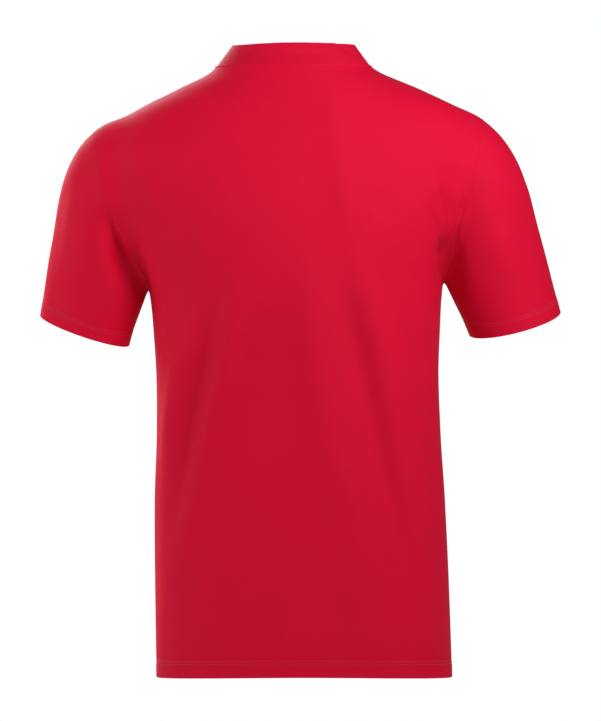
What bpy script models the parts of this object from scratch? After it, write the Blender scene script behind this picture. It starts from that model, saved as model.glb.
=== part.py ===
"""A plain red polo shirt in its worn shape, hollow, with nobody in it.

Frame: metres, +Z up, the shirt's front faces -Y and the wearer's left is +X.
The origin is at the base of the neck, midway between the two points where the
shoulder seams meet the collar; the whole shirt hangs below it.

The cloth is worked out in three steps.
1. Form: the torso is a stack of rounded sections, each sleeve is a tube of
   elliptical sections that ends in a round cap, and the three are blended.
2. Seams: the armholes, side seams, shoulder seams and neckline are lines on
   that form. A body panel is a grid between its seams, a sleeve is a fan of
   rings from armhole to cuff.
3. Wall: the grid, with its folds, is the inside of the cloth, and the same
   grid moved out along the form's normals is the outside.
"""
import math

import bmesh
import bpy
import numpy as np
from mathutils import Vector

MM = 0.001

# ---------------------------------------------------------------- cloth and seams
WALL = 1.2 * MM              # one layer of heavy knit
DOUBLE_WALL = 2.0 * MM       # collar and placket, folded double
SEAM_GAP = 0.3 * MM          # between two pieces at a seam


def table(columns, *rows):
    """A short table as one array for each named column."""
    return dict(zip(columns.split(), np.array(rows, dtype=float).T))


# ---------------------------------------------------------------- torso
# Each row is a level section: half_width to either side of centre_x, depth to
# the back and to the front of the side seams, and squareness, the power of the
# rounded section (2 is an ellipse).
TORSO = table(
    "height centre_x half_width back front squareness",
    (0.0300, 0.0042, 0.0640, 0.0505, 0.0600, 2.00),
    (0.0100, 0.0042, 0.0805, 0.0590, 0.0630, 2.00),
    (-0.0010, 0.0040, 0.0890, 0.0632, 0.0650, 2.00),
    (-0.0070, 0.0025, 0.0945, 0.0655, 0.0662, 2.00),
    (-0.0164, -0.0005, 0.1125, 0.0695, 0.0685, 2.00),
    (-0.0257, -0.0018, 0.1345, 0.0735, 0.0707, 2.00),
    (-0.0350, -0.0030, 0.1535, 0.0775, 0.0730, 2.05),
    (-0.0445, -0.0030, 0.1740, 0.0815, 0.0757, 2.10),
    (-0.0540, -0.0035, 0.1915, 0.0852, 0.0790, 2.15),
    (-0.0630, -0.0030, 0.2050, 0.0885, 0.0825, 2.20),
    (-0.0750, -0.0010, 0.2155, 0.0930, 0.0890, 2.30),
    (-0.1000, 0.0010, 0.2180, 0.1015, 0.1030, 2.50),
    (-0.1400, 0.0010, 0.2070, 0.1110, 0.1190, 2.65),
    (-0.1800, 0.0015, 0.1940, 0.1170, 0.1290, 2.60),
    (-0.2200, 0.0015, 0.1800, 0.1190, 0.1340, 2.50),
    (-0.2600, 0.0012, 0.1695, 0.1185, 0.1345, 2.40),
    (-0.3000, 0.0005, 0.1665, 0.1160, 0.1325, 2.35),
    (-0.3600, -0.0005, 0.1638, 0.1115, 0.1285, 2.30),
    (-0.4300, -0.0020, 0.1650, 0.1085, 0.1255, 2.30),
    (-0.5100, -0.0033, 0.1688, 0.1095, 0.1250, 2.30),
    (-0.6000, -0.0056, 0.1706, 0.1140, 0.1265, 2.35),
    (-0.7140, -0.0086, 0.1713, 0.1190, 0.1290, 2.40),
)
HEM_HEIGHT = -0.7135         # at the side seams
HEM_RISE = 0.0045            # how much higher the hem hangs at centre back and front

# ---------------------------------------------------------------- sleeves
# Sections across the sleeve, by distance up from the cuff.
SLEEVE = table(
    "along outer inner back front",
    (-0.030, 0.0520, 0.0515, 0.0495, 0.0495),
    (0.000, 0.0535, 0.0530, 0.0510, 0.0510),
    (0.050, 0.0550, 0.0600, 0.0550, 0.0545),
    (0.100, 0.0565, 0.0680, 0.0600, 0.0590),
    (0.150, 0.0592, 0.0740, 0.0640, 0.0620),
    (0.280, 0.0592, 0.0760, 0.0640, 0.0620),
)
CAP_LENGTH = 0.095           # of the round cap on top
SLEEVE_LEAN = 3.0            # degrees that each sleeve hangs forward
ARMHOLE_DEPTH = 0.105        # front to back, used to space the rings' points
CUFF_HALF = 0.053            # half the cuff's width

# Distances out are measured away from x = 0 on either side. The armhole runs
# from the tip of the shoulder to the armpit; its back and front halves bulge
# towards the sleeve by these amounts.
SLEEVES = {
    "sleeve_left": dict(side=1, cuff=(0.2480, -0.010, -0.3090), swing=12.0, cuff_tilt=19.2, cuff_drop=8.5,
                        cap_start=0.154,
                        tip=(0.2365, -0.0795), armpit=(0.1770, -0.2640),
                        back_bulge=0.014, front_bulge=-0.004),
    "sleeve_right": dict(side=-1, cuff=(0.2555, -0.010, -0.3010), swing=17.6, cuff_tilt=15.0, cuff_drop=12.0,
                         cap_start=0.160,
                         tip=(0.2175, -0.0650), armpit=(0.1740, -0.2520),
                         back_bulge=0.005, front_bulge=-0.006),
}
# How softly the sleeves run into the torso: tight at the armpit, soft above.
BLEND = table(
    "height width",
    (-0.300, 0.008),
    (-0.250, 0.008),
    (-0.180, 0.022),
    (-0.110, 0.022),
    (-0.070, 0.013),
)

# ---------------------------------------------------------------- neck and collar
NECK_X = 0.0042              # centre of the neckline
NECK_HALF = 0.0890           # half its width at the shoulder seams
NECK_BACK = 0.0625           # how far it reaches back
NECK_FRONT = 0.0850          # how far it reaches forward, where it dips
COLLAR_TOP_HALF = 0.0702     # the collar's upper edge leans in all round
COLLAR_TOP_BACK = 0.0520
COLLAR_TOP_FRONT = 0.0725
COLLAR_RISE_SIDE = 0.0208    # height of the upper edge over the neckline
COLLAR_RISE_BACK = 0.0245
COLLAR_RISE_FRONT = 0.0255
COLLAR_CORNER = 0.0080       # radius of its two front corners
COLLAR_END = 0.0020          # each end stops this far from the centre front

# ---------------------------------------------------------------- placket and buttons
PLACKET_HALF = 0.0150        # half width of the slash and of the strip that fills it
PLACKET_UNDER_HALF = 0.0190  # the under strip reaches behind the front
PLACKET_LENGTH = 0.1500
PLACKET_COLUMNS = (PLACKET_UNDER_HALF, PLACKET_HALF, 0.0085, COLLAR_END)
PLACKET_COLUMNS = np.array(PLACKET_COLUMNS + tuple(-x for x in PLACKET_COLUMNS[::-1]))
BUTTON_RADIUS = 5.5 * MM
BUTTON_HEIGHT = 2.4 * MM
BUTTON_RIM = 1.2 * MM
BUTTON_DISH = 0.6 * MM
BUTTON_HOLE = 0.8 * MM       # radius of each of its four holes
BUTTON_HOLE_OUT = 1.5 * MM   # from the button's centre, across and up
BUTTON_FIRST = 0.0200        # below the neckline
BUTTON_PITCH = 0.0450
BUTTON_COUNT = 3

# ---------------------------------------------------------------- folds
# Soft ridges (height over 0) and troughs (under 0), in millimetres, drawn on
# the face they are seen from: across is x on the back and front, and y on the
# left and right. A fold runs from start past bend to end.
FOLDS = (
    # face, start across, up, bend across, up, end across, up, width, height
    ("back", -70, -233, -109, -321, -161, -449, 10, 3.0),
    ("back", -27, -186, -44, -309, -138, -584, 14, 3.0),
    ("back", -64, -262, -88, -379, -150, -578, 12, -3.0),
    ("back", -35, -63, -42, -128, -62, -221, 14, -3.5),
    ("back", 72, -303, 96, -367, 131, -508, 11, -3.0),
    ("back", 41, -204, 76, -391, 119, -578, 14, 2.5),
    ("back", 139, -297, 149, -360, 149, -430, 9, -3.0),
    ("back", 102, -285, 125, -391, 137, -473, 9, 2.5),
    ("back", 172, -229, 164, -262, 154, -297, 8, 2.0),
    ("back", -181, -174, -167, -145, -150, -128, 8, 2.5),
    ("back", -167, -198, -156, -174, -120, -139, 8, 2.5),
    ("back", -156, -209, -144, -186, -97, -157, 9, 2.0),
    ("back", -33, -69, -120, -48, -205, -61, 9, -2.5),
    ("back", -44, -36, -120, -37, -179, -49, 9, 2.0),
    ("back", -3, -500, -4, -600, -6, -740, 30, -2.5),
    ("back", 120, -520, 125, -620, 122, -740, 22, 2.5),
    ("back", -97, -490, -136, -585, -160, -690, 16, 3.0),
    ("back", 60, -560, 64, -650, 66, -740, 20, -2.0),
    ("front", -168, -205, -128, -190, -70, -150, 10, 2.5),
    ("front", -160, -235, -110, -250, -50, -245, 11, 2.5),
    ("front", -165, -222, -120, -222, -75, -205, 9, -2.5),
    ("front", 172, -215, 130, -196, 72, -160, 10, 2.5),
    ("front", 165, -246, 118, -262, 55, -262, 11, 2.5),
    ("front", 168, -232, 122, -232, 78, -214, 9, -2.5),
    ("front", -150, -300, -105, -420, -60, -600, 14, 3.0),
    ("front", -120, -290, -70, -420, -20, -590, 13, -3.0),
    ("front", 150, -310, 118, -430, 88, -620, 14, 3.0),
    ("front", 118, -300, 82, -430, 48, -600, 13, -3.0),
    ("front", 0, -470, 6, -600, 4, -740, 24, 3.0),
    ("front", -100, -540, -104, -640, -106, -740, 18, -2.5),
    ("front", 128, -560, 132, -650, 130, -740, 18, -2.5),
    ("front", -205, -90, -150, -105, -95, -120, 12, 2.0),
    ("front", 212, -96, 158, -108, 100, -122, 12, 2.0),
    ("left", -30, -120, -8, -200, 10, -290, 12, 2.0),
    ("left", 28, -130, 24, -190, 30, -260, 10, -2.0),
    ("left", -48, -160, -40, -210, -30, -262, 9, -1.8),
    ("right", 30, -115, 6, -190, -14, -285, 12, 2.0),
    ("right", -30, -130, -30, -190, -36, -250, 10, -2.0),
    ("right", 46, -150, 38, -205, 26, -258, 9, -1.8),
)
FOLD_FACES = {"back": (0, 1, 1), "front": (0, 1, -1), "left": (1, 0, 1), "right": (1, 0, -1)}
FOLD_STEPS = 24              # short straights that stand for a fold's curve
FOLD_FADE_IN = 0.18          # share of its length over which a fold rises
FOLD_FADE_OUT = 0.40         # and over which it dies away

# ---------------------------------------------------------------- how fine the grids are
SIDE_STEPS = 14              # rows from hem to armpit
ARMHOLE_STEPS = 15           # rows from armpit to shoulder tip, half a sleeve ring
END_PITCH = 0.7              # their first and last step, as a share of an even one
SHOULDER_STEPS = 5           # rows from shoulder tip to neck
ARMPIT_SAG = 0.050           # how much lower than the armpits their row is at the placket
TIP_SAG = 0.020              # and the row of the shoulder tips
BACK_STEPS = 31              # columns of the back
FRONT_STEPS = 13             # columns of the front on each side of the placket
SLEEVE_STEPS = 10            # rings from armhole to cuff
COLLAR_STEPS = 3
BUTTON_SIDES = 20
BUTTON_HOLE_SIDES = 6

# ---------------------------------------------------------------- finishes
FINISHES = {
    "knit": dict(colour=(0.6724, 0.0070, 0.0369), roughness=0.85),
    "rib": dict(colour=(0.6239, 0.0060, 0.0331), roughness=0.88),
    "button": dict(colour=(0.4735, 0.0060, 0.0242), roughness=0.35),
}


# ================================================================ the form
def smooth_value(knots, values, at):
    """A table's column at any place between its rows.

    A cubic through each pair of rows. The slope at a row is the harmonic mean
    of the steps on both sides of it, and 0 where they differ in sign, so the
    curve never overshoots a row.
    """
    order = np.argsort(knots)
    knots, values = knots[order], values[order]
    step = np.diff(values) / np.diff(knots)
    before, after = step[:-1], step[1:]
    slope = np.concatenate([step[:1], np.zeros(len(step) - 1), step[-1:]])
    alike = before * after > 0
    slope[1:-1][alike] = 2 * before[alike] * after[alike] / (before + after)[alike]
    at = np.clip(at, knots[0], knots[-1])
    row = np.clip(np.searchsorted(knots, at) - 1, 0, len(knots) - 2)
    width = knots[row + 1] - knots[row]
    t = (at - knots[row]) / width
    rise = (3 - 2 * t) * t * t
    return (values[row] * (1 - rise) + values[row + 1] * rise
            + slope[row] * width * t * (1 - t) ** 2 - slope[row + 1] * width * t * t * (1 - t))


def torso_section(height, face):
    """Centre, half width, depth and squareness of the torso's section at a height."""
    centre, half, squareness = (smooth_value(TORSO["height"], TORSO[name], height)
                                for name in ("centre_x", "half_width", "squareness"))
    back = smooth_value(TORSO["height"], TORSO["back"], height)
    front = smooth_value(TORSO["height"], TORSO["front"], height)
    return centre, half, np.where(face > 0, back, front), squareness


def torso_depth(p):
    """About how deep a point lies inside the torso, in metres; under 0 is outside.

    With g = ((|x|/half)^n + (|y|/depth)^n)^(1/n), which is 1 on the section,
    the depth is (1 - g) over the steepness of g.
    """
    x, y, z = np.moveaxis(p, -1, 0)
    centre, half, depth, n = torso_section(z, y)
    across = np.maximum(np.abs(x - centre) / half, 1e-6)
    through = np.maximum(np.abs(y) / depth, 1e-6)
    g = (across ** n + through ** n) ** (1 / n)
    steepness = g ** (1 - n) * np.hypot(across ** (n - 1) / half, through ** (n - 1) / depth)
    return (1 - g) / steepness


def sleeve_axes(sleeve):
    """Unit vectors of a sleeve: up along it, out from the body, and to its back."""
    swing, lean = math.radians(sleeve["swing"]), math.radians(SLEEVE_LEAN)
    up = np.array([-sleeve["side"] * math.sin(swing), 0.0, math.cos(swing)])
    out = np.array([sleeve["side"] * math.cos(swing), 0.0, math.sin(swing)])
    back = np.array([0.0, 1.0, 0.0])
    return up * math.cos(lean) + back * math.sin(lean), out, back * math.cos(lean) - up * math.sin(lean)


def outward(sleeve, out, y, z):
    """A point of a sleeve's side, from its distance out."""
    return np.stack(np.broadcast_arrays(sleeve["side"] * out, y, z), axis=-1)


def sleeve_depth(p, sleeve):
    """About how deep a point lies inside a sleeve, as torso_depth does it.

    The section is an ellipse with its own half sizes outward, inward, to the
    back and to the front; past cap_start the distance along joins them, which
    closes the tube with a round cap.
    """
    up, out, back = sleeve_axes(sleeve)
    away = p - outward(sleeve, *sleeve["cuff"])
    along, across, through = away @ up, away @ out, away @ back
    sizes = {name: smooth_value(SLEEVE["along"], SLEEVE[name], along)
             for name in ("outer", "inner", "back", "front")}
    half = np.where(across > 0, sizes["outer"], sizes["inner"])
    depth = np.where(through > 0, sizes["back"], sizes["front"])
    cap = np.maximum(along - sleeve["cap_start"], 0) / CAP_LENGTH
    g = np.maximum(np.sqrt((across / half) ** 2 + (through / depth) ** 2 + cap ** 2), 1e-6)
    steepness = np.sqrt((across / half ** 2) ** 2 + (through / depth ** 2) ** 2 + (cap / CAP_LENGTH) ** 2)
    return (1 - g) / np.maximum(steepness / g, 1e-3)


def form_depth(p):
    """Depth inside torso and sleeves together, rounded where they meet."""
    depth = torso_depth(p)
    width = smooth_value(BLEND["height"], BLEND["width"], p[..., 2])
    for sleeve in SLEEVES.values():
        other = sleeve_depth(p, sleeve)
        share = np.clip(0.5 + 0.5 * (depth - other) / width, 0, 1)
        depth = other + (depth - other) * share + width * share * (1 - share)
    return depth


def form_slope(p):
    """Gradient of form_depth, from differences half a millimetre apart."""
    step = 0.25 * MM
    return np.stack([(form_depth(p + step * axis) - form_depth(p - step * axis)) / (2 * step)
                     for axis in np.eye(3)], axis=-1)


def form_normal(p):
    """Unit vectors out of the form."""
    slope = form_slope(p)
    return -slope / np.linalg.norm(slope, axis=-1, keepdims=True)


def onto_form(p):
    """Points moved to the form's surface, each along the form's slope."""
    for _ in range(6):
        slope = form_slope(p)
        square = np.maximum(np.sum(slope * slope, axis=-1), 0.05)
        p = p - (form_depth(p) / square)[..., None] * slope
    return p


def first_crossing(start, way, reach):
    """Where straight lines from start first cross the form's surface.

    The depth is sampled along each line, and the first step over which it
    changes sign is then halved until it is very short.
    """
    t = np.linspace(0, reach, 120)
    depths = form_depth(start[..., None, :] + t[:, None] * way[..., None, :])
    sign = np.sign(depths[..., 0])
    first = np.argmax(depths * sign[..., None] <= 0, axis=-1)
    far = t[first]
    near = t[np.maximum(first - 1, 0)]
    for _ in range(24):
        middle = (near + far) / 2
        before = form_depth(start + middle[..., None] * way) * sign > 0
        near = np.where(before, middle, near)
        far = np.where(before, far, middle)
    return start + near[..., None] * way


# ================================================================ folds
def fade(t):
    """A fold's height along its length: 0 at both ends, 1 between."""
    rise = np.clip(t / FOLD_FADE_IN, 0, 1)
    fall = np.clip((1 - t) / FOLD_FADE_OUT, 0, 1)
    return (3 - 2 * rise) * rise ** 2 * (3 - 2 * fall) * fall ** 2


def fold_height(p, normal):
    """How far the folds move each point along its normal.

    A fold's curve is a parabola from start past bend to end. Across it the
    fold is a bell, height * exp(-(distance / width)^2 / 2), and it fades to
    nothing on cloth that doesn't face the way the fold is seen from.
    """
    total = np.zeros(p.shape[:-1])
    for face, *numbers in FOLDS:
        start, bend, end = np.array(numbers[:6]).reshape(3, 2) * MM
        width, height = np.array(numbers[6:]) * MM
        across, facing, sign = FOLD_FACES[face]
        seen = np.clip(0.2 + 2 * sign * normal[..., facing], 0, 1)
        seen *= np.clip(0.5 + sign * p[..., facing] / 0.04, 0, 1)
        flat = np.stack([p[..., across], p[..., 2]], axis=-1)
        low = np.minimum(np.minimum(start, bend), end) - 4 * width
        high = np.maximum(np.maximum(start, bend), end) + 4 * width
        near = np.all((flat > low) & (flat < high), axis=-1) & (seen > 0)
        t = np.linspace(0, 1, FOLD_STEPS + 1)[:, None]
        curve = start * (1 - t) * (1 - 2 * t) + bend * 4 * t * (1 - t) + end * t * (2 * t - 1)
        leg = np.diff(curve, axis=0)
        from_leg = flat[near][:, None] - curve[:-1]
        along = np.clip(np.sum(from_leg * leg, axis=-1) / np.sum(leg * leg, axis=-1), 0, 1)
        gap = np.linalg.norm(from_leg - along[..., None] * leg, axis=-1)
        nearest = np.argmin(gap, axis=1)
        rows = np.arange(len(nearest))
        place = (nearest + along[rows, nearest]) / FOLD_STEPS
        bell = np.exp(-0.5 * (gap[rows, nearest] / width) ** 2)
        total[near] += height * bell * fade(place) * seen[near]
    return total


# ================================================================ seams
def armpit_fork(sleeve):
    """Where sleeve and torso part under the arm, as distance out and height.

    Lines are let down through the cloth at a few places near the named
    armpit, and the highest point at which one comes out is the fork.
    """
    out = np.linspace(-0.012, 0.012, 97) + sleeve["armpit"][0]
    above = outward(sleeve, out, 0.0, sleeve["armpit"][1] + 0.05)
    found = first_crossing(above, np.broadcast_to([0.0, 0.0, -1.0], above.shape), 0.2)
    highest = np.argmax(np.where(found[:, 2] < above[:, 2] - 0.01, found[:, 2], -1))
    return np.array([out[highest], found[highest, 2]])


def sleeve_fan(sleeve):
    """Pivot of a sleeve's rings, and their angle and distance at armhole and cuff.

    The armhole and the cuff are two straight lines in the front view. The
    rings between them turn about the point where those lines meet.
    """
    tip, armpit = np.array(sleeve["tip"]), armpit_fork(sleeve)
    cuff = np.array(sleeve["cuff"])[[0, 2]]
    tilt = math.radians(sleeve["cuff_tilt"])
    armhole_way = (tip - armpit) / np.linalg.norm(tip - armpit)
    cuff_way = np.array([math.cos(tilt), math.sin(tilt)])
    down = np.linalg.solve(np.column_stack([armhole_way, -cuff_way]), cuff - armpit)[0]
    pivot = armpit + down * armhole_way
    angles = (math.atan2(armhole_way[1], armhole_way[0]), tilt)
    reaches = (np.linalg.norm((tip + armpit) / 2 - pivot), np.linalg.norm(cuff - pivot))
    halves = (np.linalg.norm(tip - armpit) / 2, CUFF_HALF)
    return pivot, angles, reaches, halves


def sleeve_rings(sleeve, share, turn):
    """Points on the sleeve by share of the way to the cuff and turn round the ring.

    Turn 0 is the shoulder's side of the ring, a quarter is its back, a half
    the underarm. Each point is where a line from the ring's centre leaves the
    form. The armhole bulges by bulge * sin(turn)^2, less towards the cuff.
    """
    share, turn = np.broadcast_arrays(share, turn)
    pivot, angles, reaches, halves = sleeve_fan(sleeve)
    angle = angles[0] + (angles[1] - angles[0]) * share
    reach = reaches[0] + (reaches[1] - reaches[0]) * share
    half = halves[0] + (halves[1] - halves[0]) * share
    depth = ARMHOLE_DEPTH + (SLEEVE["back"][1] - ARMHOLE_DEPTH) * share
    drop = math.radians(sleeve["cuff_drop"]) * share
    out, down = (np.cos(angle), np.sin(angle)), (np.sin(angle), -np.cos(angle))
    bulge = np.where(np.sin(turn) > 0, sleeve["back_bulge"], sleeve["front_bulge"])
    bulge = bulge * np.sin(turn) ** 2 * (1 - share) ** 2
    start = outward(sleeve, pivot[0] + reach * out[0] + bulge * down[0],
                    sleeve["cuff"][1] * share, pivot[1] + reach * out[1] + bulge * down[1])
    outer = half * np.cos(turn)
    rear = depth * np.sin(turn)
    way = outward(sleeve, outer * out[0] + rear * np.sin(drop) * down[0],
                  rear * np.cos(drop), outer * out[1] + rear * np.sin(drop) * down[1])
    way = way / np.linalg.norm(way, axis=-1, keepdims=True)
    return first_crossing(start, way, 0.2)


def half_ring_turns():
    """Turns from the underarm to the shoulder tip, closer together at both."""
    step = np.linspace(0, 1, ARMHOLE_STEPS + 1)
    return math.pi * (1 - step) + (1 - END_PITCH) / 2 * np.sin(2 * math.pi * step)


def panel_side(sleeve, face):
    """One side of a body panel from hem to neck: side seam, armhole, shoulder seam.

    Face is 1 for the back panel and -1 for the front panel; both take the same
    points for the side seam and the shoulder seam.
    """
    side = sleeve["side"]
    armhole = sleeve_rings(sleeve, 0.0, face * half_ring_turns())
    armhole[[0, -1], 1] = 0
    heights = np.linspace(HEM_HEIGHT, armhole[0, 2], SIDE_STEPS + 1)[:-1]
    centre = torso_section(heights, face)[0]
    inside = np.stack([centre, 0 * heights, heights], axis=-1)
    seam = first_crossing(inside, np.broadcast_to([float(side), 0.0, 0.0], inside.shape), 0.3)
    neck = NECK_X + side * NECK_HALF
    x = np.linspace(armhole[-1, 0], neck, SHOULDER_STEPS + 1)[1:]
    above = np.stack([x, 0 * x, 0 * x + 0.06], axis=-1)
    shoulder = first_crossing(above, np.broadcast_to([0.0, 0.0, -1.0], above.shape), 0.3)
    return np.concatenate([seam, armhole, shoulder])


def neck_points(turn, face):
    """The neckline: an ellipse in plan, let down onto the form.

    Turn 0 is the wearer's left shoulder seam, a half turn the right one.
    """
    depth = NECK_BACK if face > 0 else NECK_FRONT
    x = NECK_X + NECK_HALF * np.cos(turn)
    above = np.stack([x, face * depth * np.sin(turn), 0 * x + 0.06], axis=-1)
    return first_crossing(above, np.broadcast_to([0.0, 0.0, -1.0], above.shape), 0.3)


def torso_point(turn, height, face):
    """Point of the torso alone, half a turn round the back or the front."""
    centre, half, depth, n = torso_section(height, face)
    size = (np.abs(np.cos(turn)) ** n + np.abs(np.sin(turn)) ** n) ** (-1 / n)
    return np.stack([centre + half * size * np.cos(turn), face * depth * size * np.sin(turn), height], axis=-1)


def torso_turn(p, face):
    """Turn of a point round the torso, the reverse of torso_point."""
    centre, half, depth, _ = torso_section(p[..., 2], face)
    return np.arctan2(np.abs(p[..., 1]) / depth, (p[..., 0] - centre) / half)


def hem_points(turn, face):
    """The hem, which hangs lowest at the side seams."""
    return torso_point(turn, HEM_HEIGHT + HEM_RISE * np.sin(turn) ** 2, face)


def even_turns(points_at, first, last, steps):
    """Turns between two ends that space a curve's points evenly along it."""
    turn = np.linspace(first, last, 400)
    length = np.concatenate([[0], np.cumsum(np.linalg.norm(np.diff(points_at(turn), axis=0), axis=1))])
    return np.interp(np.linspace(0, length[-1], steps + 1), length, turn)


# ================================================================ panels
def between(bottom, top, left, right):
    """Values inside four edges: bottom to top, plus left to right, less the corners twice counted."""
    u = np.linspace(0, 1, len(bottom))[None, :, None]
    v = np.linspace(0, 1, len(left))[:, None, None]
    corners = ((1 - u) * (1 - v) * bottom[0] + u * (1 - v) * bottom[-1]
               + (1 - u) * v * top[0] + u * v * top[-1])
    return ((1 - v) * bottom[None] + v * top[None]
            + (1 - u) * left[:, None] + u * right[:, None] - corners)


def panel_patch(face, bottom, top, left, right):
    """Grid of points on the form between four seams.

    The seams are first filled in as turn and height on the torso. What the
    seams stand off the torso is filled in too and added, and the points
    inside are then moved onto the form.
    """
    edges = (bottom, top, left, right)
    turn, height = np.moveaxis(between(*(np.stack([torso_turn(e, face), e[:, 2]], axis=-1)
                                         for e in edges)), -1, 0)
    grid = torso_point(turn, height, face)
    grid = grid + between(bottom - grid[0], top - grid[-1], left - grid[:, 0], right - grid[:, -1])
    grid[1:-1, 1:-1] = onto_form(grid[1:-1, 1:-1])
    return grid


def panel_part(face, left, right, hem_ends, neck_ends, steps):
    """Grid between two edges of a panel, its hem and neckline spaced evenly between their turns."""
    hem = hem_points(even_turns(lambda turn: hem_points(turn, face), *hem_ends, steps), face)
    neck = neck_points(even_turns(lambda turn: neck_points(turn, face), *neck_ends, steps), face)
    hem[[0, -1]] = left[0], right[0]
    neck[[0, -1]] = left[-1], right[-1]
    return panel_patch(face, hem, neck, left, right)


def back_grid():
    """The back: rows from hem to neck, columns from the wearer's left to right."""
    left, right = (panel_side(sleeve, 1) for sleeve in SLEEVES.values())
    return panel_part(1, left, right, (0, math.pi), (0, math.pi), BACK_STEPS)


def front_line(x, heights):
    """Points down the front at one x."""
    inside = np.stack([0 * heights + x, 0 * heights, heights], axis=-1)
    return first_crossing(inside, np.broadcast_to([0.0, -1.0, 0.0], inside.shape), 0.3)


def front_grid():
    """The front: as the back, with columns at the placket's named widths.

    Returns the grid and the row of the placket's lower end. The placket's own
    columns start at column FRONT_STEPS.
    """
    left, right = (panel_side(sleeve, -1) for sleeve in SLEEVES.values())
    neck_turns = np.arccos((PLACKET_COLUMNS - NECK_X) / NECK_HALF)
    neck = neck_points(neck_turns, -1)
    turns = np.linspace(0, math.pi, 400)
    hem_turns = np.interp(-PLACKET_COLUMNS, -hem_points(turns, -1)[:, 0], turns)
    hem = hem_points(hem_turns, -1)
    armpit, tip = SIDE_STEPS, SIDE_STEPS + ARMHOLE_STEPS
    even = (left[:, 2] + right[:, 2]) / 2
    rows = np.arange(len(even))
    middle = len(neck) // 2
    slash = neck[middle, 2] - PLACKET_LENGTH
    even = np.interp(rows, [0, armpit, tip, rows[-1]],
                     [HEM_HEIGHT, even[armpit] - ARMPIT_SAG, even[tip] - TIP_SAG, neck[middle, 2]])
    slash_row = int(np.argmin(np.abs(even - slash)))
    lines = []
    for column in (0, -1):
        marks = [hem[column, 2], even[armpit], slash, even[tip], neck[column, 2]]
        line = front_line(neck[column, 0], np.interp(rows, [0, armpit, slash_row, tip, rows[-1]], marks))
        line[0], line[-1] = hem[column], neck[column]
        lines.append(line)
    grid = np.concatenate([
        panel_part(-1, left, lines[0], (0, hem_turns[0]), (0, neck_turns[0]), FRONT_STEPS),
        panel_patch(-1, hem, neck, *lines)[:, 1:-1],
        panel_part(-1, lines[1], right, (hem_turns[-1], math.pi), (neck_turns[-1], math.pi), FRONT_STEPS),
    ], axis=1)
    return grid, slash_row


def rim_of(rows, columns, ring=False):
    """Grid places round the edge of a panel, or of a tube's first ring and last ring."""
    if ring:
        return [[(0, c) for c in range(columns)], [(rows - 1, c) for c in range(columns)]]
    loop = [(0, c) for c in range(columns - 1)] + [(r, columns - 1) for r in range(rows - 1)]
    loop += [(rows - 1, c) for c in range(columns - 1, 0, -1)] + [(r, 0) for r in range(rows - 1, 0, -1)]
    return [loop]


def drawn_in(grid, normal, amount, ring=False):
    """A grid whose edge is moved into it by an amount, square to the edge.

    At a corner the two moves are joined, so that both edges keep the amount.
    """
    grid = grid.copy()
    middle = grid.mean(axis=(0, 1)) if not ring else None
    for loop in rim_of(*grid.shape[:2], ring):
        rows, columns = np.array(loop).T
        edge, out = grid[rows, columns], normal[rows, columns]
        after = np.roll(edge, -1, axis=0) - edge
        after /= np.linalg.norm(after, axis=1, keepdims=True)
        before = np.roll(after, 1, axis=0)
        moves = [np.cross(out, way) for way in (before, after)]
        moves = [move / np.linalg.norm(move, axis=1, keepdims=True) for move in moves]
        move = (moves[0] + moves[1]) / (1 + np.sum(moves[0] * moves[1], axis=1, keepdims=True))
        inner = grid[1 if rows[0] == 0 else -2, columns] if ring else middle
        if np.mean(np.sum(move * (inner - edge), axis=1)) < 0:
            move = -move
        grid[rows, columns] = edge + amount * move
    return grid


def folded(grid):
    """The grid with its folds, and the form's normals there."""
    normal = form_normal(grid)
    return grid + fold_height(grid, normal)[..., None] * normal, normal


# ================================================================ walls
def quads_of(rows, columns, ring=False, leave_out=None):
    """Corner numbers of a grid's cells, row by row."""
    r, c = np.meshgrid(np.arange(rows - 1), np.arange(columns if ring else columns - 1), indexing="ij")
    keep = np.ones(r.shape, dtype=bool)
    if leave_out is not None:
        keep[leave_out] = False
    r, c = r[keep], c[keep]
    across = (c + 1) % columns
    return np.stack([r * columns + c, r * columns + across,
                     (r + 1) * columns + across, (r + 1) * columns + c], axis=-1)


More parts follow.
